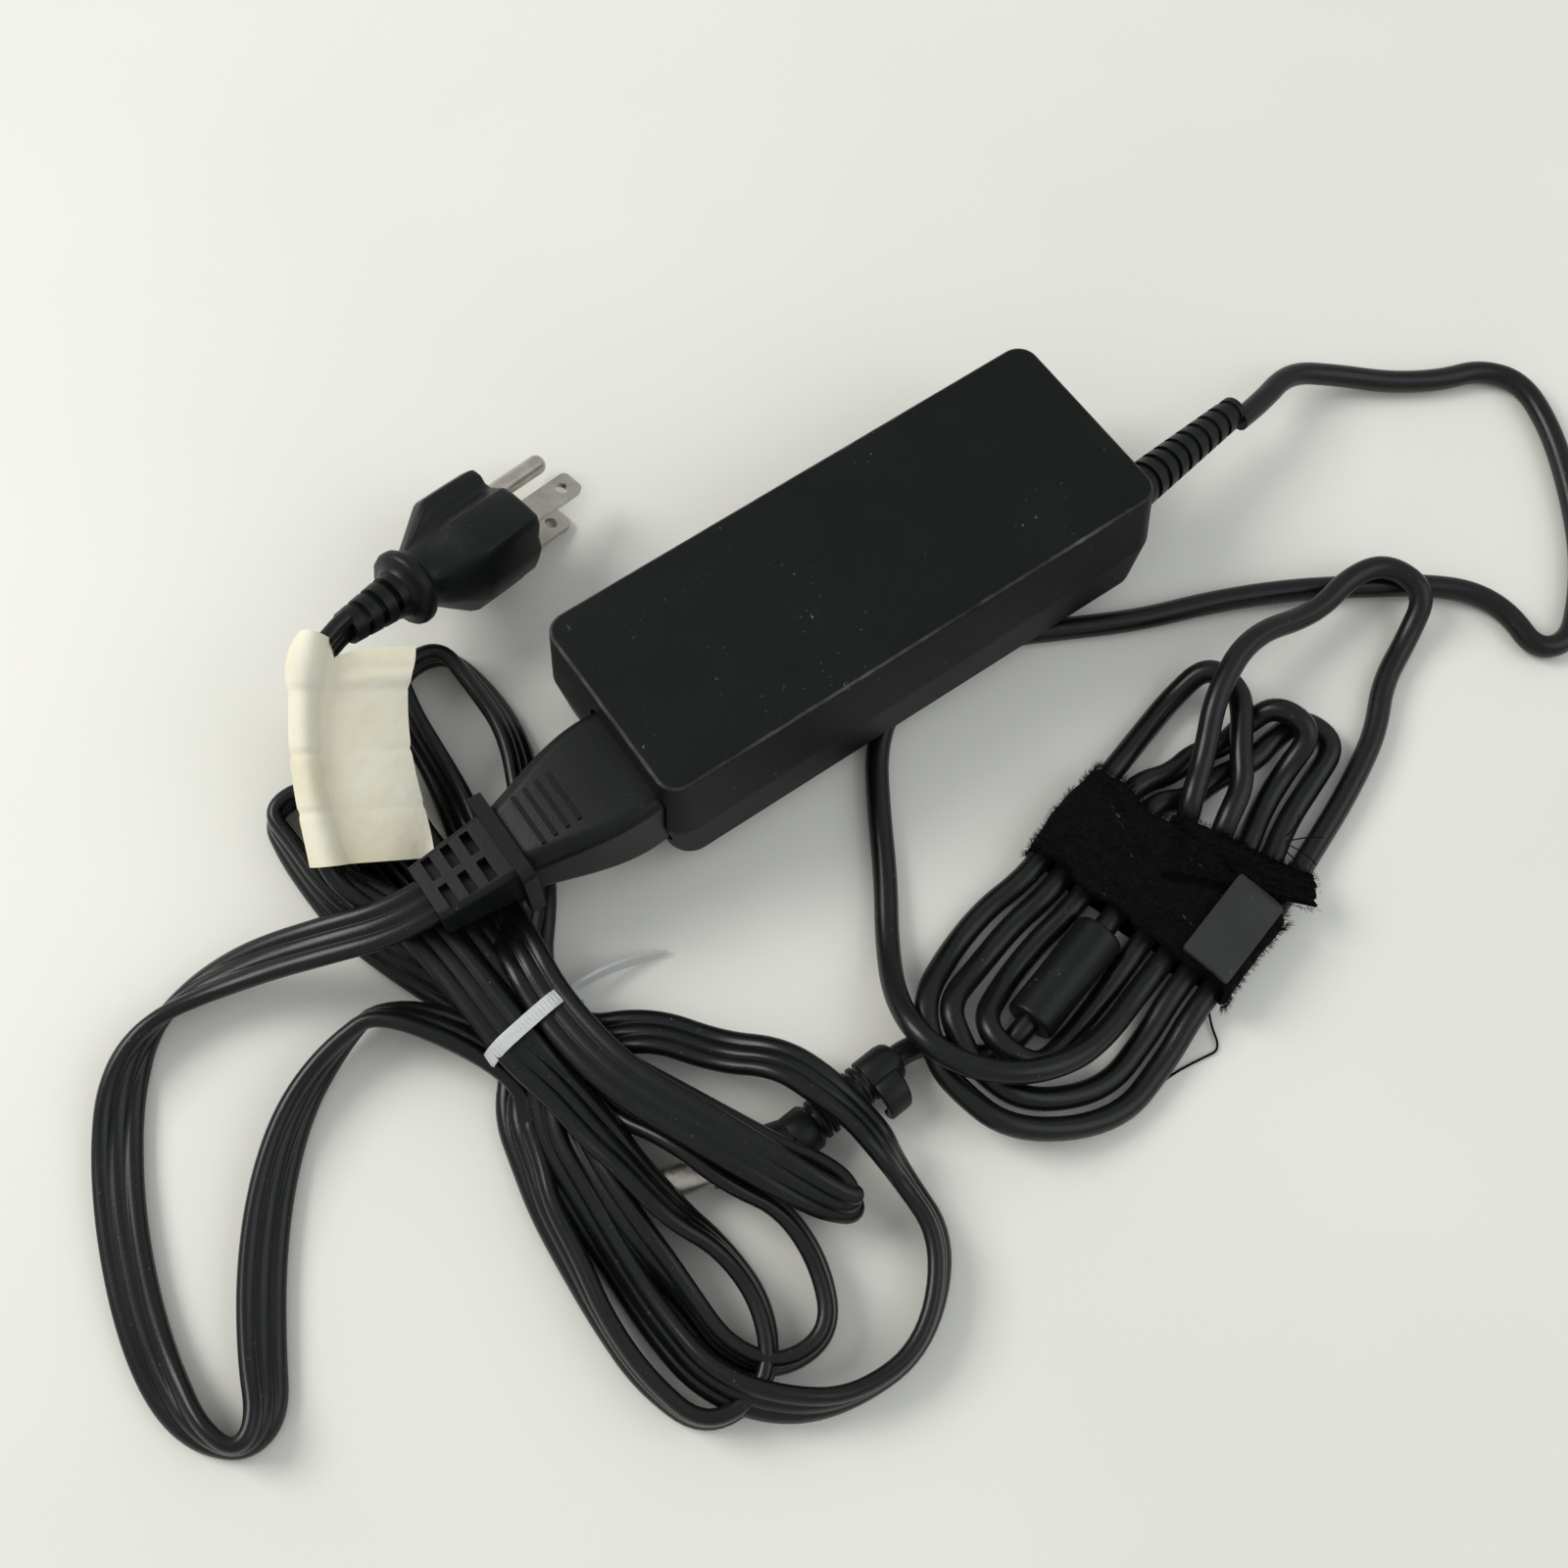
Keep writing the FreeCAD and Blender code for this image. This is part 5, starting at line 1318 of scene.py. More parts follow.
@dataclass
class PlugSleeve:
    """Ribbed sleeve behind the low-voltage plug, with its smooth saddle and the hook for the wound cord."""

    rear: tuple[float, float, float] = (-80.0, -92.3, 5.6)
    far_end: tuple[float, float, float] = (-52.0, -90.2, 5.6)
    ribs: int = 7
    first_rib: float = 6.9
    pitch: float = 1.95
    rib_radius: float = 4.75
    groove_radius: float = 3.9
    sides: int = 32
    rib_width: float = 1.2
    rib_slope: float = 0.12
    spine_radius: float = 4.63
    hook_middle: tuple[float, float, float] = (24.0, 4.9, -0.1)
    hook_from: float = 124.0
    hook_sweep: float = 176.0
    hook_radius: float = 4.3
    hook_width: float = 6.6
    hook_thickness: float = 2.3

    def place(self, along: float, out: float, rise: float) -> Vector:
        """Point of the sleeve.

        Args:
            along: Place behind the plug.
            out: Place to the hook's side.
            rise: Height above the sleeve's middle.

        Returns:
            The point in metres.
        """
        back = (Vector(self.far_end) - Vector(self.rear)).normalized()
        side = Vector((back.y, -back.x, 0.0))
        return (Vector(self.rear) + back * along + side * out + Vector((0, 0, rise))) * MM

    def ring(self, along: float, radius: float) -> list[Vector]:
        """One ring of the sleeve's skin; a spine along its top fills the grooves there.

        Args:
            along: Place behind the plug.
            radius: The ring's radius.

        Returns:
            The ring's points.
        """
        points = []
        in_groove = radius < self.rib_radius - 0.5
        for number in range(self.sides):
            angle = 2 * math.pi * number / self.sides
            spine = max(0.0, math.sin(angle)) ** 6 if in_groove else 0.0
            reach = radius + (self.spine_radius - radius) * spine
            points.append(self.place(along, reach * math.cos(angle), reach * math.sin(angle)))
        return points

    def sleeve(self) -> bpy.types.Object:
        """The flange at the plug, the ribs and the saddle as one skin.

        Returns:
            The sleeve.
        """
        groove, top = self.groove_radius, self.rib_radius
        rows = [(-0.2, 4.9), (0.3, 5.35), (5.0, 5.35), (5.6, 5.0), (6.3, 4.3), (6.6, groove)]
        for rib in range(self.ribs):
            start = self.first_rib + self.pitch * rib
            end = start + self.rib_width
            rows += [(start, groove), (start + self.rib_slope, top),
                     (end - self.rib_slope, top), (end, groove)]
        rows += [(20.5, groove), (20.7, 4.85), (26.6, 4.85), (28.2, 4.5), (29.0, 3.9), (29.4, 3.1)]
        work = loft("plug_sleeve", [self.ring(*row) for row in rows])
        work.bevel(0.18, 2, 40.0)
        return work.smooth(40.0)

    def hook(self) -> bpy.types.Object:
        """The open hook at the saddle's side.

        Returns:
            The hook.
        """
        work = Workpiece("cord_hook", "cube", size=1.0)
        work.slice(Axis.X, 16)
        along, out, rise = self.hook_middle

        def curl(v: Vector) -> Vector:
            """Place of a point of the hook, which narrows towards its tip.

            Args:
                v: Its place in a unit cube.

            Returns:
                The point in metres.
            """
            share = v.x + 0.5
            angle = math.radians(self.hook_from - self.hook_sweep * share)
            radius = self.hook_radius + v.z * (self.hook_thickness - 0.6 * share)
            width = self.hook_width - 2.4 * share * share
            return self.place(along - 1.6 * share + v.y * width, out + radius * math.cos(angle),
                              rise + radius * math.sin(angle))

        work.mould(curl)
        work.outward()
        work.bevel(0.7, 3, 50.0)
        return work.smooth(45.0)

    def build(self, material: bpy.types.Material) -> bpy.types.Object:
        """Model the sleeve with its hook."""
        piece = joined(self.sleeve(), self.hook())
        return finish(piece, Body.BRICK, "moulded_black", material, ("dc_plug_relief",))


# Mains lead


@dataclass
class MainsLead:
    """Flat three-core cord from the connector through its loop and hank to the three-pin plug.

    Its passes go through the tie in two columns, left (-1) and right (1), four layers high.
    """

    width: float = 10.6 * MM
    thickness: float = 3.6 * MM
    floor: float = 3.0
    second: float = 9.3
    third: float = 15.6
    clearance: float = 0.15
    tie_middle: tuple[float, float] = (-113.0, -40.0)
    column: float = 5.5
    stagger: float = 0.6
    layer: float = 3.8
    lowest_layer: float = 3.3
    tie_slope: float = 0.15
    passes: tuple[tuple[int, int], ...] = ((-1, 2), (1, 0), (1, 3), (1, 2), (1, 1), (-1, 1), (-1, 0), (-1, 3))
    fold_pass: int = 2

    def settle(self, height: float, roll: float) -> float:
        """Height of the cord's middle that keeps its lower edge off the table.

        Args:
            height: The height that it would have.
            roll: The cord's roll, in degrees.

        Returns:
            The height, raised where needed.
        """
        turn = math.radians(roll)
        half = (self.width * abs(math.sin(turn)) + self.thickness * abs(math.cos(turn))) / (2 * MM)
        return max(height, half + self.clearance)

    def station(self, x: float, y: float, height: float, heading: float, roll: float = 0.0) -> Station:
        """Station of the hank.

        Args:
            x: Place along the brick.
            y: Place across it.
            height: Height of the cord's middle.
            heading: The cord's heading, in degrees.
            roll: Its roll, in degrees.

        Returns:
            The station.
        """
        ahead = math.radians(heading)
        place = Vector((x, y, self.settle(height, roll))) * MM
        return Station(place, Vector((math.cos(ahead), math.sin(ahead), 0.0)), roll)

    def through_tie(self, side: int, layer: int, before: Vector, after: Vector, roll: float) -> Station:
        """Station in the middle of the tie.

        Args:
            side: Left column, -1, or right column, 1.
            layer: Layer in the column, from nought.
            before: Where the cord comes from.
            after: Where it goes.
            roll: The cord's roll there; a multiple of 180 keeps it flat.

        Returns:
            The station, which looks from the one place to the other.
        """
        x = self.tie_middle[0] + side * self.column
        y = self.tie_middle[1] + side * self.stagger
        way = after - before
        return Station(Vector((x, y, self.lowest_layer + self.layer * layer)) * MM,
                       Vector((way.x, way.y, self.tie_slope * way.z)).normalized(), roll)

    def fold(self) -> list[Control]:
        """The short fold that lies on the low-voltage plug: out on top, over its tip and back underneath.

        Returns:
            Its control points.
        """
        return free(((-106.0, -54.0, 16.6, 3), (-102.9, -65.5, 17.6, 7), (-96.2, -79.5, 18.6, 12),
                     (-90.0, -92.6, 18.4, 22), (-84.8, -102.6, 16.6, 36), (-80.4, -109.4, 13.6, 52),
                     (-77.0, -111.6, 11.2, 70), (-76.0, -107.6, 10.4, 96), (-79.6, -102.0, 11.0, 126),
                     (-86.0, -94.6, 13.2, 160), (-92.0, -83.4, 13.6, 171), (-99.2, -69.5, 13.4, 177),
                     (-105.8, -57.0, 13.0, 179)))

    def hank(self, before: Vector, after: Vector) -> list[Control]:
        """Control points of the hank: three loops and a fold on the tie's near side, three loops beyond it.

        Args:
            before: The lead's last point before the tie.
            after: The plug lead's first point beyond it.

        Returns:
            The control points.
        """
        low, mid, high = self.floor, self.second, self.third
        loops = (
            ((-124.4, -70, mid - 1.2, -92, 35), (-124.8, -98, low, -90, 50),
             (-117.5, -130.5, mid + 0.3, -52, 50), (-92, -143.5, low, 0, 80), (-64.5, -117, low, 90, 65),
             (-66.0, -99, high - 2.0, 97, 45), (-70.5, -84, high, 112, 30), (-87, -62, 8.6, 126, 25)),
            ((-90, -5, low, 65, 50), (-80.5, 28, low, 92, 60), (-89, 46, low, 180, 85),
             (-98.5, 30, low, 268, 60), (-101.9, 2, low + 2.4, 257, 40)),
            (),
            ((-109.9, -15, 10.6, 91, 25), (-111, 5, mid, 96, 40), (-108.5, 30, low, 88, 60),
             (-115, 44, low, 180, 82), (-120.8, 28, low, -90, 50), (-116.8, -7, low, -76, 35)),
            ((-107.6, -60, 6.0, -76, -35), (-98.6, -85, 11.9, -72, -60), (-89.5, -110, low, -90, -75),
             (-102.5, -130.0, low, 180, -80), (-116.5, -114, low, 92, -70), (-119.3, -84, 10.3, 92, -40)),
            ((-122.6, -8, low, 100, 45), (-125.6, 12, low, 96, 65), (-130.6, 33.0, low, 180, 85),
             (-135.8, 17, low, -88, 65), (-131.6, -4.5, low, -70, 45)),
            ((-127.6, -60, low, -102, 45), (-131.8, -80, low, -94, 60), (-133.5, -108, low, -88, 75),
             (-120, -131.5, low, 0, 85), (-104.4, -110, low, 92, 75), (-111.2, -83, 12.7, 99, 50),
             (-114.4, -62, 12.8, 98, 20)))
        fold = self.fold()
        turned = [[self.station(*row) for row in loop] for loop in loops]
        firsts = [loop[0].place if loop else fold[0].place for loop in turned] + [after]
        lasts = [before] + [loop[-1].place if loop else fold[-1].place for loop in turned]
        controls: list[Control] = []
        run: list[Station] = []
        base = 0.0
        for number, (side, layer) in enumerate(self.passes):
            run.append(self.through_tie(side, layer, lasts[number], firsts[number], base))
            if number == self.fold_pass:
                controls += turns(run) + [Control(run[-1].place, base)] + fold
                base = 180.0
                run = []
            elif number < len(turned):
                run += [Station(item.place, item.way, item.roll + base) for item in turned[number]]
        controls += turns(run) + [Control(run[-1].place, base)]
        return controls

    def lead(self) -> list[Control]:
        """The free stretch from the connector's relief, round the left loop, to the tie.

        Returns:
            Its control points.
        """
        rows = ((-117.8, -8.6, 21.6, 0), (-125.8, -8.6, 21.6, 0), (-140, -3, 18.0, 0), (-154, 3, 11.5, 10),
                (-168, 6.5, 6.0, 45), (-181, 5, 5.2, 90), (-191.5, -2.5, 4.4, 140), (-199.5, -14, 3.1, 165),
                (-206.5, -29, 3.1, 180), (-212, -46, 3.1, 185), (-214.5, -61, 3.1, 200),
                (-213.5, -73.5, 4.0, 235), (-208, -82, 5.4, 270), (-200, -79, 5.0, 235),
                (-195, -67.5, 4.4, 215), (-187, -53, 4.2, 210), (-176.5, -39, 4.4, 220),
                (-164, -27.5, 5.0, 240), (-150, -21, 6.5, 265), (-136.5, -19.0, 9.6, 300))
        return free([(x, y, self.settle(z, roll), roll - 360) for x, y, z, roll in rows])

    def plug_lead(self) -> list[Control]:
        """The free stretch from the tie, through the label's sleeve, to the plug's relief."""
        return free(((-120.5, -12.0, 14.5, 185), (-127.0, 1.0, 14.6, 215), (-131.8, 11.5, 16.0, 255),
                     (-124.2, 30.6, 24.6, 268), (-112.4, 48.0, 33.0, 270), (-100.5, 51.5, 30.7, 270)))

    def profile(self) -> bpy.types.Object:
        """Closed outline of the flat cord: two wide outer lobes and a narrow one between two grooves.

        Returns:
            The outline as a flat curve.
        """
        half, groove, middle = 1.8, 1.15, 1.62
        upper = [(5.3, 0.0), (5.22, 0.62), (4.9, 1.22), (4.3, 1.62), (3.5, half), (2.6, 1.76), (2.0, 1.5),
                 (1.62, groove), (1.45, groove), (1.1, 1.44), (0.6, 1.58), (0.0, middle)]
        quarter = [(x * MM, z * MM) for x, z in upper]
        outline = quarter + [(-x, z) for x, z in reversed(quarter[:-1])]
        outline += [(-x, -z) for x, z in quarter[1:]] + [(x, -z) for x, z in reversed(quarter[1:-1])]
        curve = bpy.data.curves.new("flat_profile", "CURVE")
        curve.dimensions = "2D"
        spline = curve.splines.new("POLY")
        spline.points.add(len(outline) - 1)
        for point, (x, z) in zip(spline.points, outline):
            point.co = (x, z, 0.0, 1.0)
        spline.use_cyclic_u = True
        made = bpy.data.objects.new("flat_profile", curve)
        bpy.context.scene.collection.objects.link(made)
        return made

    def build_cord(self, material: bpy.types.Material,
                   pieces: Sequence[bpy.types.Object]) -> bpy.types.Object:
        """Model the whole flat cord, swept along one smooth line.

        Args:
            material: The jacket.
            pieces: The new pieces on the lead; not used.

        Returns:
            The cord.
        """
        lead, plug_lead = self.lead(), self.plug_lead()
        controls = lead + self.hank(lead[-1].place, plug_lead[0].place) + plug_lead
        cord = spline_curve("mains_cord", controls, CORD_STEPS)
        line = centre_line(cord)
        profile = self.profile()
        cord.data.bevel_mode = "OBJECT"
        cord.data.bevel_object = profile
        cord.data.use_fill_caps = True
        cord = as_mesh("mains_cord", [cord])
        bpy.data.objects.remove(profile)
        finish(cord, Body.MAINS_LEAD, "cord_jacket", material,
               ("ac_cord_lead", "ac_cord_hank", "ac_plug_lead"))
        tuple(controls[0].place)
        return cord


@dataclass
class CableTie:
    """Clear cable tie round the hank, with its serrated band, its head and its cut, pointed tail."""

    left: float = -125.3
    right: float = -102.4
    middle_y: float = -41.4
    skew: float = 9.0
    low: float = 0.15
    high: float = 17.0
    corner: float = 6.0
    width: float = 3.4
    thickness: float = 1.0
    teeth: int = 76
    raised_tooth: float = 0.022
    tooth_half_width: float = 0.7
    crown: float = 0.9
    lowest: float = 0.05
    head_size: tuple[float, float, float] = (2.8, 4.6, 4.2)
    head_out: float = 0.9
    head_height: float = 4.4
    tail_root: tuple[float, float, float] = (-102.0, -38.0, 5.0)
    tail_tip: tuple[float, float, float] = (-78.3, -41.9, 1.7)
    tail_width: float = 3.0
    tail_thickness: float = 0.8
    tail_taper_from: float = 0.72
    tail_roll: float = 80.0
    tail_twist: float = 12.0

    def outline(self, share: float) -> tuple[float, float]:
        """Point of the band's outer outline.

        Args:
            share: Place round it, from nought to one.

        Returns:
            Its x and its height, in millimetres.
        """
        half_x = (self.right - self.left) / 2 - self.corner
        half_z = (self.high - self.low) / 2 - self.corner
        x, z = band_outline(share, half_x, half_z, self.corner)
        swell = self.crown * max(0.0, 1 - (x / (half_x + self.corner)) ** 2) if z > 0 else 0.0
        return (self.right + self.left) / 2 + x, (self.high + self.low) / 2 + z + swell

    def place(self, x: float, depth: float, height: float) -> Vector:
        """Point of the tie, whose plane is turned a little against the bundle.

        Args:
            x: Place across the bundle.
            depth: Place along it, from the tie's middle.
            height: Height above the table.

        Returns:
            The point in metres.
        """
        turn = math.radians(self.skew)
        middle = (self.left + self.right) / 2
        across = x - middle
        return Vector((middle + across * math.cos(turn) - depth * math.sin(turn),
                       self.middle_y + across * math.sin(turn) + depth * math.cos(turn), height)) * MM

    def build(self, material: bpy.types.Material) -> bpy.types.Object:
        """Model the tie.

        Args:
            material: The nylon.

        Returns:
            The band with its head and its tail.
        """
        around = self.teeth * 2
        work = Workpiece("serrated_tie", "cylinder", vertices=around, radius=1.0, depth=2.0,
                         end_fill_type="NOTHING")
        work.slice(Axis.Z, 4)
        middle_x, middle_z = (self.left + self.right) / 2, (self.low + self.high) / 2

        def wrap(v: Vector) -> Vector:
            """Place of a point of the band, raised at every second row of teeth.

            Args:
                v: Its place on a cylinder.

            Returns:
                The point in metres.
            """
            share = share_round(v)
            x, z = self.outline(share)
            tooth = round(share * around) % 2 and abs(v.z) < self.tooth_half_width
            grow = 1.0 + (self.raised_tooth if tooth else 0.0)
            return self.place(middle_x + (x - middle_x) * grow, v.z * self.width / 2,
                              max(self.lowest, middle_z + (z - middle_z) * grow))

        work.mould(wrap)
        work.outward()
        work.modify("SOLIDIFY", thickness=self.thickness * MM, offset=-1.0)
        piece = joined(work.smooth(30.0), self.head(), self.tail())
        return finish(piece, Body.MAINS_LEAD, "clear_nylon", material, ("cable_tie",))

    def head(self) -> bpy.types.Object:
        """The head that locks the band, low on the right side.

        Returns:
            The head.
        """
        work = Workpiece("tie_head", "cube", size=1.0)
        work.edit("FACE")
        work.pick_faces(lambda place, normal: normal.x > 0.5)
        bpy.ops.mesh.inset(thickness=0.18)
        bpy.ops.mesh.extrude_region_move(TRANSFORM_OT_translate={"value": (-0.25, 0.0, 0.0)})
        work.leave()
        deep, wide, tall = self.head_size
        work.mould(lambda v: self.place(self.right + self.head_out + v.x * deep, v.y * wide,
                                        self.head_height + v.z * tall))
        work.bevel(0.5, 3, 40.0)
        return work.smooth(40.0)

    def tail(self) -> bpy.types.Object:
        """The loose tail, nearly on edge, pointed where it was cut.

        Returns:
            The tail.
        """
        work = Workpiece("tie_tail", "cube", size=1.0)
        work.slice(Axis.X, 15)
        root, tip = Vector(self.tail_root), Vector(self.tail_tip)
        way = tip - root
        side = Vector((-way.y, way.x, 0.0)).normalized()

        def lay(v: Vector) -> Vector:
            """Place of a point of the tail.

            Args:
                v: Its place in a unit cube.

            Returns:
                The point in metres.
            """
            share = v.x + 0.5
            sway = Vector((0.0, 1.1 * math.sin(share * math.pi), 0.6 * math.sin(share * 5.0)))
            narrow = max(0.08, 1.0 - (share - self.tail_taper_from) / 0.3)
            taper = 1.0 if share < self.tail_taper_from else narrow
            roll = math.radians(self.tail_roll - self.tail_twist * share)
            flat, thick = v.y * self.tail_width * taper, v.z * self.tail_thickness
            out = flat * math.cos(roll) - thick * math.sin(roll)
            height = flat * math.sin(roll) + thick * math.cos(roll)
            return (root + way * share + sway + side * out + Vector((0, 0, height))) * MM

        work.mould(lay)
        work.outward()
        return work.smooth(30.0)


@dataclass
class PaperLabel:
    """Bare paper label: a sleeve stuck round the plug lead and its flag, curled and torn at one corner.

    The sleeve's upper end opens into a rounded hood.
    """

    top: tuple[float, float, float] = (-109.2, 51.2, 33.8)
    foot: tuple[float, float, float] = (-130.6, 10.8, 17.8)
    half_width: float = 3.3
    half_height: float = 5.9
    flag_width: float = 19.5
    flag_taper: float = 2.0
    bulge: float = 2.9
    above_lead: float = 0.6
    thickness: float = 0.3
    creases: tuple[float, ...] = (0.24, 0.5, 0.77)
    crease_reach: float = 0.025
    mouth: float = 14.0
    leaf_gap: float = 0.2
    leaf_closing: float = 2.5
    sag: float = 0.011
    droop: float = 0.1
    fold_at: float = 0.82
    fold_reach: float = 0.05
    fold_height: float = 0.7
    torn_below: float = 0.3
    torn_beyond: float = 0.72
    bent_above: float = 0.84
    hood_from: float = 0.74
    hood_swell: float = 0.3
    hood_reach: float = 3.4
    hood_turn: float = 2.4

    def hood(self, along: float) -> float:
        """How far into the hood a place along the sleeve is, from nought to one."""
        return max(0.0, along - self.hood_from) / (1 - self.hood_from)

    def girth(self, along: float) -> tuple[float, float]:
        """Half of the sleeve's width and of its height.

        Args:
            along: Place along the lead.

        Returns:
            The two halves.
        """
        crease = sum(max(0.0, 1.0 - abs(along - place) / self.crease_reach) for place in self.creases)
        swell = 1.0 + self.hood_swell * math.sin(self.hood(along) * 0.86 * math.pi)
        width = self.half_width + 0.9 * (1 - along) ** 4 + 0.6 * along ** 6 - 0.35 * crease
        height = self.half_height - 0.6 * along - 0.5 * crease
        return width * swell, height * swell

    def on_sleeve(self, along: float, angle: float) -> Vector:
        """Point of the sleeve.

        Args:
            along: Place along the lead.
            angle: Place round it, from the flag's side.

        Returns:
            How far it stands forward, aside and up from the lead's line.
        """
        width, height = self.girth(along)
        crown, far = self.hood(along), (1 - math.cos(angle)) / 2
        forward = self.hood_reach * (1 - (1 - crown) ** 2) * far * (1.5 - far)
        aside = math.cos(angle) * width + self.hood_turn * crown ** 3 * far
        return Vector((forward, aside, math.sin(angle) * height))

    def on_flag(self, along: float, out: float, upper: bool) -> Vector:
        """Point of the flag, whose two leaves lie together.

        Args:
            along: Place along the lead.
            out: Place from the sleeve towards the flag's edge.
            upper: Whether it is on the upper leaf.

        Returns:
            How far it stands forward, aside and up from the lead's line.
        """
        width, height = self.girth(along)
        opening = math.radians(self.mouth)
        flag = self.flag_width - self.flag_taper * along
        torn = max(0.0, self.torn_below - along) / self.torn_below
        torn *= max(0.0, out / flag - self.torn_beyond) / (1 - self.torn_beyond)
        bent = max(0.0, along - self.bent_above) / (1 - self.bent_above)
        closing = height * math.sin(opening) * math.exp(-out / self.leaf_closing)
        leaf = (self.leaf_gap + closing) * (1 if upper else -1)
        sag = self.sag * out * out + self.droop * out * (1 - along)
        near_fold = max(0.0, 1.0 - abs(along - self.fold_at) / self.fold_reach)
        fold = self.fold_height * near_fold * min(1.0, out / 5)
        forward = 1.2 * torn * torn - bent * (2.2 + 2.0 * max(0.0, 1.0 - out / 6)) - 0.03 * out
        aside = width * math.cos(opening) + out - 1.6 * torn * torn
        rise = leaf - sag + 2.2 * torn * torn - 1.6 * bent * bent * out / flag + fold
        return Vector((forward, aside, rise))

    def surface(self, along: float, around: float) -> Vector:
        """Point of the paper.

        Args:
            along: Place along the lead, from nought at the foot to one at the plug.
            around: Place across the sheet, from nought at the flag's edge to one at the end under the flag.

        Returns:
            The point in metres.
        """
        top, foot = Vector(self.top), Vector(self.foot)
        way = (top - foot).normalized()
        side = way.cross(Vector((0, 0, 1))).normalized()
        normal = side.cross(way)
        bowed = side * self.bulge * math.sin(along * math.pi)
        axis = foot + (top - foot) * along - bowed + normal * self.above_lead
        opening = math.radians(self.mouth)
        closed = 2 * math.pi - 2 * opening
        wrap = closed * sum(self.girth(along)) / 2
        flag = self.flag_width - self.flag_taper * along
        run = around * (2 * flag + wrap)
        if run < flag:
            offset = self.on_flag(along, flag - run, True)
        elif run > flag + wrap:
            offset = self.on_flag(along, run - flag - wrap, False)
        else:
            offset = self.on_sleeve(along, opening + (run - flag) / wrap * closed)
        return (axis + way * offset.x + side * offset.y + normal * offset.z) * MM

    def build(self, material: bpy.types.Material) -> bpy.types.Object:
        """Model the label as one sheet that goes round the lead and comes back under its flag.

        Args:
            material: The paper.

        Returns:
            The label.
        """
        work = Workpiece("paper_label", "grid", x_subdivisions=90, y_subdivisions=64, size=2.0)
        work.mould(lambda v: self.surface((v.y + 1) / 2, (v.x + 1) / 2))
        work.outward()
        work.modify("SOLIDIFY", thickness=self.thickness * MM, offset=0.0)
        return finish(work.smooth(50.0), Body.MAINS_LEAD, "label_paper", material, ("label_flag",))


@dataclass
class MainsPlug:
    """Moulded body of the three-pin plug, with its hollowed grips and its round flange."""

    face: tuple[float, float, float]
    yaw: float = 14.0
    pitch: float = 20.0
    centre: float = 5.0
    upper: tuple[tuple[float, float], ...] = (
        (-8.2, 0.0), (-8.0, 3.2), (-6.4, 5.6), (-5.6, 9.6), (-4.2, 11.5), (-1.0, 11.8), (3.6, 11.8),
        (6.6, 11.2), (8.6, 9.2), (10.2, 7.9), (12.2, 7.7), (14.0, 8.9), (16.0, 8.8), (18.0, 5.6), (18.4, 0.0))

    def place(self, x: float, y: float, z: float) -> Vector:
        """Point of the plug.

        Args:
            x: Place forward of its face.
            y: Place towards the earth pin.
            z: Place up.

        Returns:
            The point in metres.
        """
        yaw, pitch = math.radians(self.yaw), math.radians(self.pitch)
        forward = Vector((math.cos(pitch) * math.cos(yaw), math.cos(pitch) * math.sin(yaw), -math.sin(pitch)))
        side = Vector((-math.sin(yaw), math.cos(yaw), 0.0))
        return (Vector(self.face) + forward * x + side * y + forward.cross(side) * z) * MM

    def ring(self, x: float, size: float, roundness: float, radius: float) -> list[Vector]:
        """One ring of the body's skin.

        Args:
            x: Place forward of the face.
            size: Size of the moulded outline.
            roundness: Share of the circle in it.
            radius: The circle's radius.

        Returns:
            The ring's points.
        """
        outline = list(self.upper) + [(y, -z) for y, z in reversed(self.upper[1:-1])]
        points = []
        for y, z in outline:
            angle = math.atan2(z, y - self.centre)
            moulded = Vector(((y - self.centre) * size, z * size))
            circle = Vector((math.cos(angle), math.sin(angle))) * radius
            mixed = moulded.lerp(circle, roundness)
            points.append(self.place(x, self.centre + mixed.x, mixed.y))
        return points

    def build(self, material: bpy.types.Material) -> bpy.types.Object:
        """Model the body by extruding its outline back from the face to the flange.

        Args:
            material: The moulded plastic.

        Returns:
            The body.
        """
        rows = ((-0.4, 0.93, 0, 5), (-0.9, 0.97, 0, 5), (-2.0, 0.99, 0, 5), (-9.0, 1.0, 0, 5),
                (-16.4, 1.0, 0, 5), (-17.6, 0.985, 0.04, 9), (-21.0, 0.86, 0.25, 9.4),
                (-24.6, 0.74, 0.62, 8.2), (-27.6, 0.7, 1, 7.2), (-29.4, 0.7, 1, 7.2), (-30.2, 0.7, 1, 8.4),
                (-30.9, 0.7, 1, 9.0), (-32.6, 0.7, 1, 9.0), (-33.3, 0.7, 1, 8.4), (-33.7, 0.7, 1, 6.9),
                (-34.4, 0.7, 1, 6.0), (-35.0, 0.7, 1, 5.6))
        work = loft("mains_plug_body", [self.ring(*row) for row in rows])
        work.bevel(0.35, 2, 32.0)
        return finish(work.smooth(38.0), Body.MAINS_LEAD, "moulded_black", material, ("ac_plug_body",))


# Studio


@dataclass(frozen=True)
class Lamp:
    """A soft square light that faces the object, placed in metres."""

    name: str
    place: tuple[float, float, float]
    size: float
    power: float
    colour: Colour

    def build(self) -> None:
        """Add the light to the scene."""
        lamp = bpy.data.lights.new(self.name, "AREA")
        lamp.size = self.size
        lamp.energy = self.power
        lamp.color = self.colour
        made = bpy.data.objects.new(self.name, lamp)
        made.location = self.place
        made.rotation_euler = (-Vector(self.place)).to_track_quat("-Z", "Y").to_euler()
        bpy.context.scene.collection.objects.link(made)


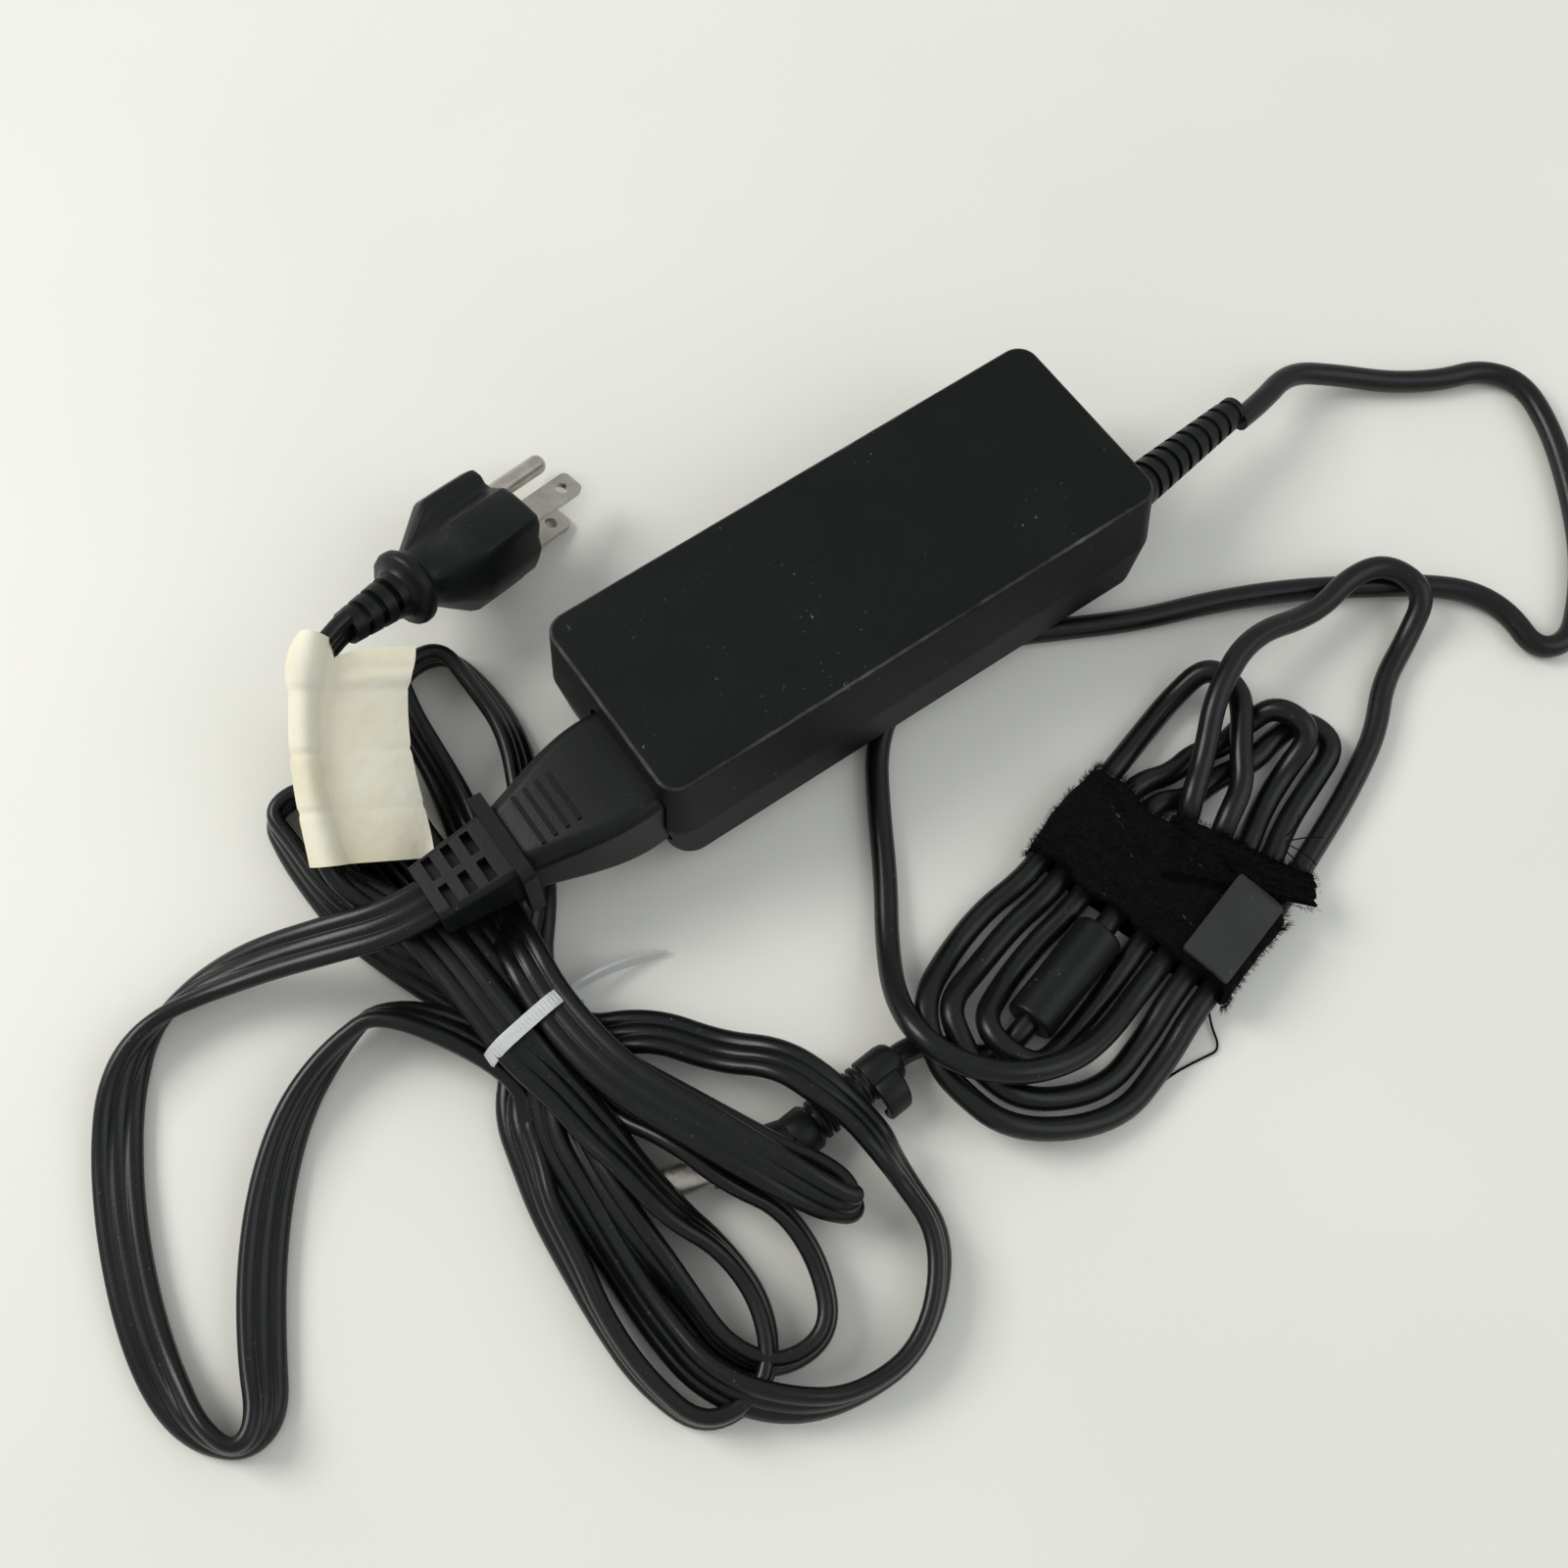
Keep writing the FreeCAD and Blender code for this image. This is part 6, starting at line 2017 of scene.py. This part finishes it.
@dataclass
class Studio:
    """Pale table, soft light and the camera, in metres."""

    camera_place: tuple[float, float, float] = (-0.1418, -0.1283, 0.4388)
    camera_right: tuple[float, float, float] = (0.8222, -0.5653, 0.0667)
    camera_up: tuple[float, float, float] = (0.5197, 0.7932, 0.3174)
    lens: float = 46.125
    sensor: float = 36.0
    table_half: float = 3.0
    table_height: float = -0.00005
    table_shades: tuple[Colour, Colour] = ((0.80, 0.798, 0.735), (0.85, 0.848, 0.785))
    table_roughness: float = 0.45
    room_colour: Colour = (0.97, 0.985, 1.0)
    room_strength: float = 0.54
    window: Lamp = Lamp("window", (-0.75, 0.9, 1.0), 0.7, 13.5, (1.0, 0.99, 0.96))
    fill: Lamp = Lamp("fill", (0.9, -0.9, 1.3), 1.3, 6.0, (0.92, 0.965, 1.0))

    def build(self) -> None:
        """Make the table, the lights and the camera."""
        self.table()
        self.lights()
        self.camera()

    def table(self) -> None:
        """The pale table, a hair below the underside of what lies on it."""
        bpy.ops.object.select_all(action="DESELECT")
        bpy.ops.mesh.primitive_plane_add(size=2 * self.table_half, location=(0.0, 0.0, self.table_height))
        table = bpy.context.active_object
        table.name = "table"
        bench = ShaderBench("table_top")
        cloud = bench.ramp(bench.noise(6.0, 3.0, 0.5), 0.3, 0.7)
        bench.set(Base_Color=bench.mix(cloud, *self.table_shades), Roughness=self.table_roughness)
        table.data.materials.append(bench.material)

    def lights(self) -> None:
        """A wide window-like light from the far left, a weaker one opposite, and a dim pale room."""
        world = bpy.data.worlds.new("room")
        bpy.context.scene.world = world
        world.use_nodes = True
        background = world.node_tree.nodes["Background"]
        background.inputs["Color"].default_value = (*self.room_colour, 1.0)
        background.inputs["Strength"].default_value = self.room_strength
        self.window.build()
        self.fill.build()

    def camera(self) -> None:
        """Camera at the photograph's viewing angle."""
        camera = bpy.data.cameras.new("camera")
        camera.lens = self.lens
        camera.sensor_width = self.sensor
        camera.clip_start = 0.01
        made = bpy.data.objects.new("camera", camera)
        right = Vector(self.camera_right).normalized()
        up = Vector(self.camera_up)
        up = (up - right * up.dot(right)).normalized()
        turned = Matrix((right, up, right.cross(up))).transposed().to_4x4()
        made.matrix_world = Matrix.Translation(self.camera_place) @ turned
        bpy.context.scene.collection.objects.link(made)
        bpy.context.scene.camera = made
        bpy.context.scene.view_settings.view_transform = "Standard"


FINISHES: tuple[Finish, ...] = (
    PlatedMetal("nickel_plate", (0.62, 0.58, 0.52), 0.36),
    Plain("solder_wire", (0.45, 0.3, 0.18), 0.4, 0.6),
    Plain("board_laminate", (0.05, 0.16, 0.07), 0.5),
    Plain("insulation", (0.7, 0.68, 0.6), 0.7),
    Plain("ceramic_body", (0.75, 0.7, 0.55), 0.4),
    Plain("component_black", (0.02, 0.02, 0.02), 0.5),
    Plain("component_yellow", (0.75, 0.55, 0.08), 0.35),
    Plain("ferrite", (0.05, 0.05, 0.055), 0.6),
    Plain("copper_winding", (0.6, 0.3, 0.15), 0.35, 0.8),
    Plain("can_aluminium", (0.55, 0.57, 0.6), 0.35, 0.9),
    Plain("sink_aluminium", (0.7, 0.7, 0.72), 0.4, 0.9),
    Plain("white_insulator", (0.1, 0.1, 0.1), 0.5),
    ClearNylon("clear_nylon", (0.86, 0.88, 0.88)),
    CreamPaper("label_paper", (0.84, 0.81, 0.66)),
    Fleece("strap_fleece", (0.0035, 0.0035, 0.0037)),
    GrainedPlastic("tab_plastic", (0.026, 0.0265, 0.0265), 0.6, 1300.0, 0.0004, 0.8, 0.3),
    GrainedPlastic("inlet_plastic", (0.005, 0.0055, 0.0055), 0.5, 1500.0, 0.00003),
    ShellPlastic("shell_plastic", (0.0042, 0.0052, 0.0052), 0.5, 1150.0, 0.00013, 1.0, 0.17),
    GrainedPlastic("moulded_black", (0.0048, 0.0054, 0.0056), 0.42, 900.0, 0.00006, 0.5),
    CordJacket("cord_jacket", (0.0045, 0.005, 0.005), 0.32, 0.35, 0.33),
)


def dress_nodes(frame: dict, materials: dict[str, bpy.types.Material]) -> None:
    """Give every model node the material of its slot.

    Args:
        materials: The materials by slot.
    """
    for entry in frame["record"]["subparts"]:
        node = frame["nodes"][entry["node"]]
        node.data.materials.clear()
        node.data.materials.append(materials[entry["material_slot"]])


def main() -> None:
    """Build the adapter's looks and the studio round it."""
    logging.basicConfig(level=logging.INFO, format="%(message)s")
    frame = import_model()
    materials = {finish.name: finish.material() for finish in FINISHES}
    dress_nodes(frame, materials)
    low_voltage = LowVoltageLead()
    strap = LoopStrap(low_voltage).build(materials)
    sleeve = PlugSleeve().build(materials["moulded_black"])
    low_voltage.build_cord(materials["cord_jacket"], [*strap, sleeve])
    tie = CableTie().build(materials["clear_nylon"])
    label = PaperLabel().build(materials["label_paper"])
    plug = MainsPlug(face=(-54.2, 57.8, 12.757)).build(materials["moulded_black"])
    MainsLead().build_cord(materials["cord_jacket"], [tie, label, plug])
    Studio().build()


if __name__ == "__main__":
    main()
